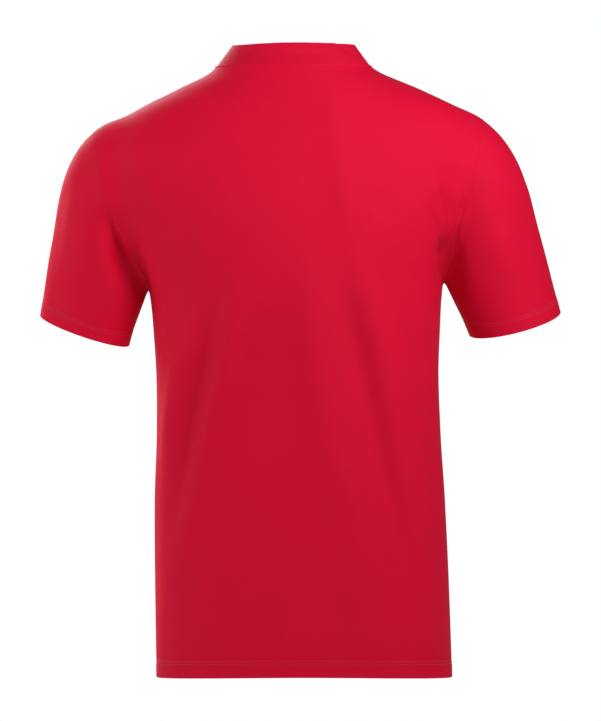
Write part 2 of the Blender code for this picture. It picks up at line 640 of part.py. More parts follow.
def add_wall(name, inner, outer, finish, ring=False, leave_out=None):
    """Object of a closed wall between an inner and an outer grid of points.

    Each cell is split on its shorter diagonal, the same one inside and out,
    and every open edge of the two skins is joined by a rim.
    """
    quads = quads_of(*inner.shape[:2], ring, leave_out)
    inner, outer = inner.reshape(-1, 3), outer.reshape(-1, 3)
    corner = outer[quads]
    shorter = (np.linalg.norm(corner[:, 0] - corner[:, 2], axis=1)
               <= np.linalg.norm(corner[:, 1] - corner[:, 3], axis=1))
    split = np.where(shorter[:, None, None], [[0, 1, 2], [0, 2, 3]], [[0, 1, 3], [1, 2, 3]])
    skin = np.take_along_axis(quads[:, None, :].repeat(2, axis=1), split, axis=2).reshape(-1, 3)
    a, b, c = np.moveaxis(outer[skin], 1, 0)
    thickness = (outer - inner)[skin].sum(axis=1)
    if np.mean(np.sum(np.cross(b - a, c - a) * thickness, axis=1)) < 0:
        skin = skin[:, ::-1]
    edges = np.concatenate([skin[:, [0, 1]], skin[:, [1, 2]], skin[:, [2, 0]]])
    code = edges[:, 0] * len(outer) + edges[:, 1]
    back_code = edges[:, 1] * len(outer) + edges[:, 0]
    start, end = edges[~np.isin(code, back_code)].T
    count = len(outer)
    falls = np.linalg.norm(outer[end] - inner[start], axis=1) <= np.linalg.norm(outer[start] - inner[end], axis=1)
    rim = np.where(falls[:, None, None],
                   np.stack([end, start, start + count, end, start + count, end + count], -1).reshape(-1, 2, 3),
                   np.stack([end, start, end + count, start, start + count, end + count], -1).reshape(-1, 2, 3))
    faces = np.concatenate([skin, skin[:, ::-1] + count, rim.reshape(-1, 3)])
    used, faces = np.unique(faces, return_inverse=True)
    points = np.concatenate([outer, inner])[used]
    mesh = bpy.data.meshes.new(name)
    mesh.from_pydata(points.tolist(), [], faces.reshape(-1, 3).tolist())
    mesh.update()
    mesh.shade_smooth()
    mesh.set_sharp_from_angle(angle=math.radians(40))
    return add_object(name, mesh, finish)


def add_object(name, mesh, finish):
    """Object in the shirt's collection, with a material of its own."""
    mesh.materials.append(finish_material(name, **FINISHES[finish]))
    obj = bpy.data.objects.new(name, mesh)
    obj.parent = bpy.data.objects["shirt"]
    bpy.data.collections["polo_shirt"].objects.link(obj)
    return obj


def finish_material(name, colour, roughness):
    """Plain Principled material."""
    material = bpy.data.materials.new(name)
    material.use_nodes = True
    shader = material.node_tree.nodes["Principled BSDF"]
    shader.inputs["Base Color"].default_value = (*colour, 1)
    shader.inputs["Roughness"].default_value = roughness
    shader.inputs["Metallic"].default_value = 0
    return material


def make_cloth_wall(name, grid, normal, finish="knit", **options):
    """A panel's wall: its grid drawn in by half the seam gap, and moved out by WALL."""
    grid = drawn_in(grid, normal, SEAM_GAP / 2, options.get("ring", False))
    return add_wall(name, grid, grid + WALL * normal, finish, **options)


# ================================================================ the pieces
def make_sleeve(name, sleeve):
    """A sleeve: rings from the armhole to the cuff."""
    share = np.linspace(0, 1, SLEEVE_STEPS + 1)[:, None]
    half_ring = half_ring_turns()
    grid = sleeve_rings(sleeve, share, np.concatenate([half_ring[::-1], -half_ring[1:-1]]))
    grid[0, [0, ARMHOLE_STEPS], 1] = 0
    grid, normal = folded(grid)
    make_cloth_wall(name, grid, normal, ring=True)


def make_plackets(grid, normal, row):
    """The two strips, made from the front's own points over the slash.

    The upper strip fills the slash and stands out of it; the under strip is
    wider and lies just behind the front.
    """
    strip = slice(FRONT_STEPS, FRONT_STEPS + len(PLACKET_COLUMNS))
    upper = slice(strip.start + 1, strip.stop - 1)
    points, out = grid[row:, upper], normal[row:, upper]
    points = drawn_in(points, out, SEAM_GAP)
    low = SEAM_GAP
    add_wall("placket_top", points + low * out, points + (low + DOUBLE_WALL) * out, "knit")
    points, out = grid[row:, strip], normal[row:, strip]
    points = drawn_in(points, out, 2 * SEAM_GAP)
    high = -SEAM_GAP
    add_wall("placket_under", points + (high - DOUBLE_WALL) * out, points + high * out, "knit")


def collar_top(neck, turn, face):
    """The collar's upper edge over the points of the neckline."""
    share = np.abs(np.sin(turn)) ** 0.6
    depth = np.where(face > 0, COLLAR_TOP_BACK, COLLAR_TOP_FRONT)
    rise_end = np.where(face > 0, COLLAR_RISE_BACK, COLLAR_RISE_FRONT)
    rise = COLLAR_RISE_SIDE + (rise_end - COLLAR_RISE_SIDE) * share
    return np.stack([NECK_X + COLLAR_TOP_HALF * np.cos(turn), face * depth * np.sin(turn),
                     neck[:, 2] + rise], axis=-1)


def make_collar(back, back_normal, front, front_normal):
    """The collar: a ruled band from the neckline to its upper edge, open at the front.

    It starts at the wearer's left of the centre front and runs round the back.
    """
    left_end = FRONT_STEPS + len(PLACKET_COLUMNS) // 2 - 1
    right_end = left_end + 1
    runs = [(front, front_normal, np.arange(left_end, 0, -1), -1),
            (back, back_normal, np.arange(back.shape[1]), 1),
            (front, front_normal, np.arange(front.shape[1] - 2, right_end - 1, -1), -1)]
    neck = np.concatenate([grid[-1, columns] for grid, _, columns, _ in runs])
    out = np.concatenate([normal[-1, columns] for _, normal, columns, _ in runs])
    face = np.concatenate([np.full(len(columns), side) for _, _, columns, side in runs])
    depth = np.where(face > 0, NECK_BACK, NECK_FRONT)
    turn = np.arctan2(np.abs(neck[:, 1]) / depth, (neck[:, 0] - NECK_X) / NECK_HALF)
    top = collar_top(neck, turn, face)
    from_end = np.where(face < 0, np.abs(neck[:, 0]) - COLLAR_END, COLLAR_CORNER)
    missing = 1 - np.clip(from_end / COLLAR_CORNER, 0, 1)
    height = np.linalg.norm(top - neck, axis=1)
    share = 1 - COLLAR_CORNER / height * (1 - np.sqrt(1 - missing ** 2))
    up = (top - neck) / height[:, None]
    base = neck + WALL * out + SEAM_GAP / 2 * up
    tip = base + (top - neck) * share[:, None]
    along = np.gradient(base, axis=0)
    away = np.cross(along, up)
    away /= np.linalg.norm(away, axis=1, keepdims=True)
    away *= np.sign(np.sum(away * out, axis=1, keepdims=True))
    rise = np.linspace(0, 1, COLLAR_STEPS + 1)[:, None, None]
    outer = base + (tip - base) * rise
    add_wall("collar", outer - DOUBLE_WALL * away, outer, "rib")


def make_button(name, place, way, cutter):
    """A turned button with a raised rim and four holes, standing on its axis."""
    profile = [(0, BUTTON_HEIGHT - BUTTON_DISH), (BUTTON_RADIUS - 2 * BUTTON_RIM, BUTTON_HEIGHT - BUTTON_DISH),
               (BUTTON_RADIUS - BUTTON_RIM, BUTTON_HEIGHT), (BUTTON_RADIUS - BUTTON_RIM / 3, BUTTON_HEIGHT),
               (BUTTON_RADIUS, BUTTON_HEIGHT / 2), (BUTTON_RADIUS - BUTTON_RIM, 0), (0, 0)]
    mesh = bpy.data.meshes.new(name)
    mesh.from_pydata([(x, 0, z) for x, z in profile],
                     [(i, i + 1) for i in range(len(profile) - 1)], [])
    button = add_object(name, mesh, "button")
    turned = button.modifiers.new("turned", "SCREW")
    turned.steps = turned.render_steps = BUTTON_SIDES
    turned.use_merge_vertices = True
    turned.merge_threshold = 0.00001
    holes = button.modifiers.new("holes", "BOOLEAN")
    holes.object = cutter
    button.location = place
    button.rotation_mode = "QUATERNION"
    button.rotation_quaternion = Vector(way).to_track_quat("Z", "Y")
    return button


def make_button_holes(name, place, way):
    """The cutter of one button: four pins across its thickness."""
    shape = bmesh.new()
    for x in (-1, 1):
        for y in (-1, 1):
            made = bmesh.ops.create_cone(shape, cap_ends=True, segments=BUTTON_HOLE_SIDES,
                                         radius1=BUTTON_HOLE, radius2=BUTTON_HOLE,
                                         depth=4 * BUTTON_HEIGHT)
            bmesh.ops.translate(shape, verts=made["verts"],
                                vec=(x * BUTTON_HOLE_OUT, y * BUTTON_HOLE_OUT, 0))
    mesh = bpy.data.meshes.new(name)
    shape.to_mesh(mesh)
    shape.free()
    holes = bpy.data.objects.new(name, mesh)
    holes.hide_render = True
    holes.display_type = "WIRE"
    holes.location = place
    holes.rotation_mode = "QUATERNION"
    holes.rotation_quaternion = Vector(way).to_track_quat("Z", "Y")
    bpy.data.collections["cutters"].objects.link(holes)
    return holes


def make_buttons(neck_height):
    """The buttons, down the middle of the upper strip."""
    for number in range(BUTTON_COUNT):
        height = np.array([neck_height - BUTTON_FIRST - BUTTON_PITCH * number])
        point, normal = folded(front_line(0.0, height))
        place = point[0] + (2 * SEAM_GAP + DOUBLE_WALL) * normal[0]
        cutter = make_button_holes(f"button_holes_{number + 1}", place, normal[0])
        make_button(f"button_{number + 1}", place, normal[0], cutter)


def start_collections():
    """An empty file with one collection for the shirt and one for the cutters."""
    for obj in list(bpy.data.objects):
        bpy.data.objects.remove(obj)
    for name in ("polo_shirt", "cutters"):
        bpy.context.scene.collection.children.link(bpy.data.collections.new(name))
    origin = bpy.data.objects.new("shirt", None)
    bpy.data.collections["polo_shirt"].objects.link(origin)


def main():
    start_collections()
    back, back_normal = folded(back_grid())
    grid, slash_row = front_grid()
    front, front_normal = folded(grid)
    make_cloth_wall("back", back, back_normal)
    slash = (slice(slash_row, None), slice(FRONT_STEPS + 1, FRONT_STEPS + len(PLACKET_COLUMNS) - 2))
    make_cloth_wall("front", front, front_normal, leave_out=slash)
    for name, sleeve in SLEEVES.items():
        make_sleeve(name, sleeve)
    make_plackets(front, front_normal, slash_row)
    make_collar(back, back_normal, front, front_normal)
    make_buttons(front[-1, FRONT_STEPS + len(PLACKET_COLUMNS) // 2, 2])


main()
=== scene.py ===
# %% [markdown]
# # A plain red polo shirt
# This lesson dresses the solids of a polo shirt as knitted cloth. The shirt keeps
# its worn shape with nobody in it, and it is seen from the back. Each panel is
# made again as a thin sheet on the same form as its solid, with finer folds,
# turned hems, seams and stitching, and then gets its finish.

# %% Load the solids
import math
from collections import namedtuple

import bpy
import numpy as np
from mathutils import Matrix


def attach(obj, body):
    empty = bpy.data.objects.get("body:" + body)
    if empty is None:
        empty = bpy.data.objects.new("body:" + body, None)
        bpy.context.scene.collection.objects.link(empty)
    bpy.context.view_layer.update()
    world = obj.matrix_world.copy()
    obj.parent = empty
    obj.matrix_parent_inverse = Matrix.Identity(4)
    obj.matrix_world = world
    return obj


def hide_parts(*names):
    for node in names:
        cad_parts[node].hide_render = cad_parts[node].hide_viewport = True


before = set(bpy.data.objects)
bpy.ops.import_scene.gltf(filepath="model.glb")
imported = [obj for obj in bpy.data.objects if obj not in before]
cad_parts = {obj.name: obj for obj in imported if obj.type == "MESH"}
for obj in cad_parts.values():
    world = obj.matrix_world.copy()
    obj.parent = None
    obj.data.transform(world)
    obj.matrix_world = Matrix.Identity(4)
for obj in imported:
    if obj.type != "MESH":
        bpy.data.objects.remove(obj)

MM = 0.001
scene = bpy.context.scene
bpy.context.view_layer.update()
print("solids:", ", ".join(sorted(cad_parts)))

# %% [markdown]
# ## The camera
# The shirt was seen square on from behind by a long lens, so its sides hardly
# taper. The camera stands 7 m behind the shirt, level with its middle.

# %% Camera behind the shirt
CAMERA_PLACE = (-0.0041, 7.0, -0.3446)
CAMERA_LENS = 298.7          # mm
SENSOR_WIDTH = 36            # mm

camera = bpy.data.objects.new("camera", bpy.data.cameras.new("camera"))
scene.collection.objects.link(camera)
camera.location = CAMERA_PLACE
camera.rotation_euler = (math.radians(90), 0, math.radians(180))
camera.data.lens = CAMERA_LENS
camera.data.sensor_width = SENSOR_WIDTH
scene.camera = camera
print("lens", camera.data.lens, "mm")

# %% [markdown]
# ## Sizes in tables
# A worn shirt has no flat faces and no circles, so its form is given by a few
# measured rows. A table names its columns, and a smooth curve runs through them.

# %% Tables and the curve through them
def table(columns, *rows):
    """A short table as one array for each named column."""
    return dict(zip(columns.split(), np.array(rows, dtype=float).T))


def smooth_value(knots, values, at):
    """A table's column at any place between its rows.

    A cubic through each pair of rows. The slope at a row is the harmonic mean
    of the steps on both sides of it, and 0 where they differ in sign, so the
    curve never overshoots a row.
    """
    order = np.argsort(knots)
    knots, values = knots[order], values[order]
    step = np.diff(values) / np.diff(knots)
    before, after = step[:-1], step[1:]
    slope = np.concatenate([step[:1], np.zeros(len(step) - 1), step[-1:]])
    alike = before * after > 0
    slope[1:-1][alike] = 2 * before[alike] * after[alike] / (before + after)[alike]
    at = np.clip(at, knots[0], knots[-1])
    row = np.clip(np.searchsorted(knots, at) - 1, 0, len(knots) - 2)
    width = knots[row + 1] - knots[row]
    t = (at - knots[row]) / width
    rise = (3 - 2 * t) * t * t
    return (values[row] * (1 - rise) + values[row + 1] * rise
            + slope[row] * width * t * (1 - t) ** 2 - slope[row + 1] * width * t * t * (1 - t))


# %% [markdown]
# ## The torso
# The body of a shirt is a soft tube. Each row below is a level section of it:
# its half width, its depth to the back and to the front of the side seams, and
# how square it is. It could be sculpted, but a table keeps the real sizes.

# %% Torso sections
TORSO = table(
    "height centre_x half_width back front squareness",
    (0.0300, 0.0042, 0.0640, 0.0505, 0.0600, 2.00),
    (0.0100, 0.0042, 0.0805, 0.0590, 0.0630, 2.00),
    (-0.0010, 0.0040, 0.0890, 0.0632, 0.0650, 2.00),
    (-0.0070, 0.0025, 0.0945, 0.0655, 0.0662, 2.00),
    (-0.0164, -0.0005, 0.1125, 0.0695, 0.0685, 2.00),
    (-0.0257, -0.0018, 0.1345, 0.0735, 0.0707, 2.00),
    (-0.0350, -0.0030, 0.1535, 0.0775, 0.0730, 2.05),
    (-0.0445, -0.0030, 0.1740, 0.0815, 0.0757, 2.10),
    (-0.0540, -0.0035, 0.1915, 0.0852, 0.0790, 2.15),
    (-0.0630, -0.0030, 0.2050, 0.0885, 0.0825, 2.20),
    (-0.0750, -0.0010, 0.2155, 0.0930, 0.0890, 2.30),
    (-0.1000, 0.0010, 0.2180, 0.1015, 0.1030, 2.50),
    (-0.1400, 0.0010, 0.2070, 0.1110, 0.1190, 2.65),
    (-0.1800, 0.0015, 0.1940, 0.1170, 0.1290, 2.60),
    (-0.2200, 0.0015, 0.1800, 0.1190, 0.1340, 2.50),
    (-0.2600, 0.0012, 0.1695, 0.1185, 0.1345, 2.40),
    (-0.3000, 0.0005, 0.1665, 0.1160, 0.1325, 2.35),
    (-0.3600, -0.0005, 0.1638, 0.1115, 0.1285, 2.30),
    (-0.4300, -0.0020, 0.1650, 0.1085, 0.1255, 2.30),
    (-0.5100, -0.0033, 0.1688, 0.1095, 0.1250, 2.30),
    (-0.6000, -0.0056, 0.1706, 0.1140, 0.1265, 2.35),
    (-0.7140, -0.0086, 0.1713, 0.1190, 0.1290, 2.40),
)
SECTION_STEP = 0.25 * MM     # between two heights of the softened table
SECTION_BELL = 3.5 * MM      # spread of the bell that softens it
SECTION_SAMPLES = np.linspace(-2.5, 2.5, 21)
HEM_HEIGHT = -0.7135         # at the side seams
HEM_RISE = 0.0045            # how much higher the hem hangs at centre back and front


def softened(rows):
    """A table's columns at small even steps of height.

    Each value is an average of the smooth curve under a bell,
    exp(-(offset / spread)^2 / 2), so that no row shows as a crease.
    """
    heights = np.arange(rows["height"].min(), rows["height"].max(), SECTION_STEP)
    weights = np.exp(-0.5 * SECTION_SAMPLES ** 2)
    soft = {name: np.average([smooth_value(rows["height"], values, heights + SECTION_BELL * sample)
                              for sample in SECTION_SAMPLES], axis=0, weights=weights)
            for name, values in rows.items()}
    return {**soft, "height": heights}


SOFT_TORSO = softened(TORSO)


def torso_section(height, face):
    """Centre, half width, depth and squareness at a height; face is 1 for the back, -1 for the front."""
    centre, half, back, front, squareness = (
        np.interp(height, SOFT_TORSO["height"], SOFT_TORSO[name])
        for name in ("centre_x", "half_width", "back", "front", "squareness"))
    return centre, half, np.where(face > 0, back, front), squareness


def torso_depth(p):
    """About how deep a point lies inside the torso, in metres; under 0 is outside.

    With g = ((|x|/half)^n + (|y|/depth)^n)^(1/n), which is 1 on the section,
    the depth is (1 - g) over the steepness of g.
    """
    x, y, z = np.moveaxis(p, -1, 0)
    centre, half, depth, n = torso_section(z, y)
    across = np.maximum(np.abs(x - centre) / half, 1e-6)
    through = np.maximum(np.abs(y) / depth, 1e-6)
    g = (across ** n + through ** n) ** (1 / n)
    steepness = g ** (1 - n) * np.hypot(across ** (n - 1) / half, through ** (n - 1) / depth)
    return (1 - g) / steepness


print("torso:", len(TORSO["height"]), "sections, softened to", len(SOFT_TORSO["height"]))

# %% [markdown]
# ## The sleeves
# A sleeve is a tube of ellipses that leans away from the body and is closed by a
# round cap inside the shoulder. The cap itself never shows. It is there so that
# torso and sleeve can be blended into one form, as the cloth runs over both.

# %% Sleeve sections and their blend with the torso
SLEEVE = table(
    "along outer inner back front",
    (-0.030, 0.0520, 0.0515, 0.0495, 0.0495),
    (0.000, 0.0535, 0.0530, 0.0510, 0.0510),
    (0.050, 0.0550, 0.0600, 0.0550, 0.0545),
    (0.100, 0.0565, 0.0680, 0.0600, 0.0590),
    (0.150, 0.0592, 0.0740, 0.0640, 0.0620),
    (0.280, 0.0592, 0.0760, 0.0640, 0.0620),
)
CAP_LENGTH = 0.095
SLEEVE_LEAN = 3.0            # degrees that each sleeve hangs forward
ARMHOLE_DEPTH = 0.105
CUFF_HALF = 0.053
SLEEVES = {
    "sleeve_left": dict(side=1, cuff=(0.2480, -0.010, -0.3090), swing=12.0, cuff_tilt=19.2, cuff_drop=8.5,
                        cap_start=0.154, tip=(0.2365, -0.0795), armpit=(0.1770, -0.2640),
                        back_bulge=0.014, front_bulge=-0.004, tuck=0.0085),
    "sleeve_right": dict(side=-1, cuff=(0.2555, -0.010, -0.3010), swing=17.6, cuff_tilt=15.0, cuff_drop=12.0,
                         cap_start=0.160, tip=(0.2175, -0.0650), armpit=(0.1740, -0.2520),
                         back_bulge=0.005, front_bulge=-0.006, tuck=0.0015),
}
BLEND = table(
    "height width",
    (-0.300, 0.008),
    (-0.250, 0.008),
    (-0.180, 0.022),
    (-0.110, 0.022),
    (-0.070, 0.013),
)


def sleeve_axes(sleeve):
    """Unit vectors of a sleeve: up along it, out from the body, and to its back."""
    swing, lean = math.radians(sleeve["swing"]), math.radians(SLEEVE_LEAN)
    up = np.array([-sleeve["side"] * math.sin(swing), 0.0, math.cos(swing)])
    out = np.array([sleeve["side"] * math.cos(swing), 0.0, math.sin(swing)])
    back = np.array([0.0, 1.0, 0.0])
    return up * math.cos(lean) + back * math.sin(lean), out, back * math.cos(lean) - up * math.sin(lean)


def outward(sleeve, out, y, z):
    """A point of a sleeve's side, from its distance out."""
    return np.stack(np.broadcast_arrays(sleeve["side"] * out, y, z), axis=-1)


def sleeve_depth(p, sleeve):
    """About how deep a point lies inside a sleeve, as torso_depth does it.

    The section is an ellipse with its own half sizes outward, inward, to the
    back and to the front; past cap_start the distance along joins them, which
    closes the tube with a round cap.
    """
    up, out, back = sleeve_axes(sleeve)
    away = p - outward(sleeve, *sleeve["cuff"])
    along, across, through = away @ up, away @ out, away @ back
    sizes = {name: smooth_value(SLEEVE["along"], SLEEVE[name], along)
             for name in ("outer", "inner", "back", "front")}
    half = np.where(across > 0, sizes["outer"], sizes["inner"])
    depth = np.where(through > 0, sizes["back"], sizes["front"])
    cap = np.maximum(along - sleeve["cap_start"], 0) / CAP_LENGTH
    g = np.maximum(np.sqrt((across / half) ** 2 + (through / depth) ** 2 + cap ** 2), 1e-6)
    steepness = np.sqrt((across / half ** 2) ** 2 + (through / depth ** 2) ** 2 + (cap / CAP_LENGTH) ** 2)
    return (1 - g) / np.maximum(steepness / g, 1e-3)


def form_depth(p):
    """Depth inside torso and sleeves together: the larger of the two, rounded where they meet."""
    depth = torso_depth(p)
    width = smooth_value(BLEND["height"], BLEND["width"], p[..., 2])
    for sleeve in SLEEVES.values():
        other = sleeve_depth(p, sleeve)
        share = np.clip(0.5 + 0.5 * (depth - other) / width, 0, 1)
        depth = other + (depth - other) * share + width * share * (1 - share)
    return depth


print("blend at the armpit", BLEND["width"][0] / MM, "mm")

# %% [markdown]
# ## Finding the surface
# The form is only known as a depth at each point, so its surface has to be
# found. Two ways are needed: sliding a point along the steepest slope until the
# depth is 0, and walking along a straight line until the depth changes sign.

# %% Slide onto the form, or walk to it
SLOPE_STEP = 0.25 * MM
SLIDES = 5
LEAST_STEEPNESS = 0.05       # squared; it keeps a slide short where the form is flat
SAMPLES = 100
HALVINGS = 20
OVER_SHOULDERS = 0.06
DOWN = (0.0, 0.0, -1.0)


def unit(v):
    """Vectors made 1 long."""
    return v / np.linalg.norm(v, axis=-1, keepdims=True)


def form_slope(p):
    """Gradient of form_depth, from differences half a millimetre apart."""
    rises = [form_depth(p + SLOPE_STEP * axis) - form_depth(p - SLOPE_STEP * axis) for axis in np.eye(3)]
    return np.stack(rises, axis=-1) / (2 * SLOPE_STEP)


def form_normal(p):
    """Unit vectors out of the form: the slope turned round."""
    return unit(-form_slope(p))


def onto_form(p):
    """Points moved to the form's surface by depth over steepness, a few times."""
    for _ in range(SLIDES):
        slope = form_slope(p)
        square = np.maximum(np.sum(slope * slope, axis=-1), LEAST_STEEPNESS)
        p = p - (form_depth(p) / square)[..., None] * slope
    return p


def first_crossing(start, way, reach=0.3):
    """Where straight lines from start first cross the surface: sampled, then halved until very short."""
    way = np.broadcast_to(way, start.shape)
    t = np.linspace(0, reach, SAMPLES)
    depths = form_depth(start[..., None, :] + t[:, None] * way[..., None, :])
    sign = np.sign(depths[..., 0])
    first = np.argmax(depths * sign[..., None] <= 0, axis=-1)
    far = t[first]
    near = t[np.maximum(first - 1, 0)]
    for _ in range(HALVINGS):
        middle = (near + far) / 2
        before = form_depth(start + middle[..., None] * way) * sign > 0
        near = np.where(before, middle, near)
        far = np.where(before, far, middle)
    return start + near[..., None] * way


def let_down(x, y):
    """Points of the form straight below x and y, let down from over the shoulders."""
    return first_crossing(np.stack([x, y, 0 * x + OVER_SHOULDERS], axis=-1), DOWN)


print("shoulder height at x = 0.15 m:", let_down(np.array([0.15]), np.zeros(1))[0, 2].round(4))

# %% [markdown]
# ## Folds
# Knitted polyester falls in soft, long folds: drag lines that run from the
# armpits and the shoulder blades, and a few slack verticals down to the hem.
# Cloth simulation would find its own folds. Placing each one keeps them
# where the real shirt has them, and the front and sides get similar ones.

# %% Table of folds
FOLDS = {
    # start across, up, bend across, up, end across, up, width, height, all in mm
    "back": (
        # one long fold from the collar down to the right hip, and the hollows beside it
        (-38, 2, -49, -118, -68, -250, 11, 2.4),
        (-60, -195, -112, -400, -170, -700, 12, 6.6),
        (-44, -225, -90, -430, -150, -730, 10, -4.4),
        (-8, -150, -36, -420, -124, -715, 18, 6.6),
        (-116, -250, -150, -395, -166, -560, 9, -3.6),
        # the left half: two folds from the shoulder blade to the left hip
        (56, -200, 98, -410, 150, -640, 11, 8.4),
        (84, -245, 121, -420, 146, -570, 9, -8.2),
        (122, -280, 141, -390, 154, -500, 8, 6.6),
        # drag lines by the left armpit
        (172, -198, 173, -222, 174, -246, 2.8, 1.5),
        (165, -220, 166, -246, 166, -272, 3.0, 1.6),
        (146, -268, 150, -298, 154, -328, 4.0, 1.8),
        # the body stands full beside the left sleeve, which sinks behind it
        (190, -60, 180, -170, 160, -290, 14, 6.0),
        (226, -160, 204, -217, 182, -280, 10, -9.5),
        (247, -80, 243, -140, 228, -195, 8, -3.0),
        # wrinkles that fan out of the right armpit
        (-185, -138, -187, -168, -181, -206, 3.0, 2.6),
        (-195, -150, -187, -184, -182, -222, 2.6, -3.2),
        (-162, -138, -174, -169, -179, -200, 2.6, -3.2),
        (-154, -130, -167, -166, -175, -206, 3.0, 3.2),
        (-146, -156, -161, -189, -168, -216, 2.6, -2.8),
        (-154, -158, -166, -190, -171, -212, 2.4, 2.0),
        (-168, -200, -169, -236, -171, -278, 6.0, -7.5),
        (-159, -190, -162, -222, -166, -262, 2.8, 2.4),
        (-90, -148, -101, -170, -114, -190, 9, -1.6),
        # a slack hollow over the left shoulder blade
        (90, -130, 130, -165, 160, -220, 20, -1.6),
        # slack cloth over the hem
        (8, -430, 2, -580, 0, -760, 26, -2.4),
        (118, -520, 124, -640, 120, -780, 20, 2.2),
        (-60, -600, -64, -690, -66, -780, 18, -2.0),
        # sleeves, seen from the back
        (-228, -180, -243, -225, -262, -270, 14, 2.6),
        (-178, -184, -182, -240, -196, -320, 8, -6.0),
        (254, -150, 262, -220, 270, -300, 14, 2.0),
    ),
    "front": (
        (-168, -205, -128, -190, -70, -150, 10, 2.5),
        (-160, -235, -110, -250, -50, -245, 11, 2.5),
        (-165, -222, -120, -222, -75, -205, 9, -2.5),
        (-172, -190, -160, -176, -140, -160, 4, 1.6),
        (-170, -206, -154, -200, -132, -190, 4, -1.5),
        (172, -215, 130, -196, 72, -160, 10, 2.5),
        (165, -246, 118, -262, 55, -262, 11, 2.5),
        (168, -232, 122, -232, 78, -214, 9, -2.5),
        (174, -200, 160, -188, 142, -170, 4, 1.6),
        (172, -222, 152, -218, 134, -206, 4, -1.4),
        (-150, -280, -105, -420, -60, -600, 14, 3.0),
        (-120, -270, -70, -420, -20, -590, 13, -3.0),
        (150, -290, 118, -430, 88, -620, 14, 3.0),
        (118, -280, 82, -430, 48, -600, 13, -3.0),
        (0, -430, 6, -600, 4, -760, 24, 3.0),
        (-100, -520, -104, -640, -106, -770, 18, -2.5),
        (128, -540, 132, -650, 130, -770, 18, -2.5),
        (-205, -90, -150, -105, -95, -120, 12, 2.0),
        (212, -96, 158, -108, 100, -122, 12, 2.0),
        (222, -140, 193, -207, 166, -272, 8, 2.4),
        (-212, -130, -190, -190, -166, -262, 8, 2.4),
    ),
    "left": (
        (-30, -110, -8, -200, 10, -300, 12, 2.2),
        (28, -120, 24, -190, 30, -270, 10, -2.0),
        (-48, -150, -40, -210, -30, -272, 9, -1.8),
        (12, -330, 26, -480, 10, -700, 16, -2.2),
        (-36, -300, -48, -460, -40, -680, 16, 2.2),
    ),
    "right": (
        (30, -105, 6, -190, -14, -295, 12, 2.2),
        (-30, -120, -30, -190, -36, -260, 10, -2.0),
        (46, -140, 38, -205, 26, -268, 9, -1.8),
        (-14, -320, -30, -470, -12, -700, 16, -2.2),
        (34, -310, 44, -460, 36, -680, 16, 2.0),
    ),
}
FOLD_FACES = {"back": (0, 1, 1), "front": (0, 1, -1), "left": (1, 0, 1), "right": (1, 0, -1)}
FOLD_STEPS = 24              # straight legs that stand for a fold's curve
FADE_IN, FADE_OUT = 0.32, 0.42
FACING_REACH = 0.04          # a fold fades over this depth, where the form turns to its other face
print(sum(map(len, FOLDS.values())), "folds")


# %% How far the folds move the cloth
def fade(t):
    """A fold's height along its length: 0 at both ends, 1 between."""
    rise = np.clip(t / FADE_IN, 0, 1)
    fall = np.clip((1 - t) / FADE_OUT, 0, 1)
    return (3 - 2 * rise) * rise ** 2 * (3 - 2 * fall) * fall ** 2


def fold_height(p, normal, folds=FOLDS):
    """How far the folds move each point along its normal.

    A fold's curve is a parabola from start past bend to end. Across it the
    fold is a bell, height * exp(-(distance / width)^2 / 2), and it fades to
    nothing on cloth that doesn't face the way the fold is seen from.
    """
    total = np.zeros(p.shape[:-1])
    t = np.linspace(0, 1, FOLD_STEPS + 1)[:, None]
    for face, rows in folds.items():
        across, facing, sign = FOLD_FACES[face]
        seen = np.clip(0.2 + 2 * sign * normal[..., facing], 0, 1)
        seen *= np.clip(0.5 + sign * p[..., facing] / FACING_REACH, 0, 1)
        flat = np.stack([p[..., across], p[..., 2]], axis=-1)
        for numbers in rows:
            start, bend, end = np.array(numbers[:6]).reshape(3, 2) * MM
            width, height = np.array(numbers[6:]) * MM
            low = np.minimum(np.minimum(start, bend), end) - 4 * width
            high = np.maximum(np.maximum(start, bend), end) + 4 * width
            near = np.all((flat > low) & (flat < high), axis=-1) & (seen > 0)
            curve = start * (1 - t) * (1 - 2 * t) + bend * 4 * t * (1 - t) + end * t * (2 * t - 1)
            leg = np.diff(curve, axis=0)
            from_leg = flat[near][:, None] - curve[:-1]
            along = np.clip(np.sum(from_leg * leg, axis=-1) / np.sum(leg * leg, axis=-1), 0, 1)
            gap = np.linalg.norm(from_leg - along[..., None] * leg, axis=-1)
            nearest = np.argmin(gap, axis=1)
            point = np.arange(len(nearest))
            place = (nearest + along[point, nearest]) / FOLD_STEPS
            swell = np.exp(-0.5 * (gap[point, nearest] / width) ** 2)
            total[near] += height * swell * fade(place) * seen[near]
    return total


RIPPLES = table(
    "along_x along_y along_z phase height_mm",
    (31, 17, 9, 0.4, 0.30),
    (-22, 29, 14, 2.1, 0.28),
    (47, -12, 23, 4.0, 0.20),
    (13, 38, -31, 1.3, 0.20),
    (71, 44, 19, 5.2, 0.10),
    (-58, 63, 37, 3.3, 0.10),
)


def ripple_height(p):
    """The slight unevenness of worn cloth: a sum of height * sin(direction . point + phase)."""
    way = np.stack([RIPPLES[name] for name in ("along_x", "along_y", "along_z")], axis=0)
    return np.sin(p @ way + RIPPLES["phase"]) @ RIPPLES["height_mm"] * MM


# %% [markdown]
# ## Seams
# A shirt is cut flat and sewn along its side seams, shoulder seams, armholes and
# neckline. On the form each seam is a line. The armhole is a ring round the
# shoulder, and the rings of the sleeve fan out from it to the cuff.

# %% Rings of a sleeve
FORK_SEARCH = 0.012          # to each side of the armpit
FORK_START = 0.05            # above it


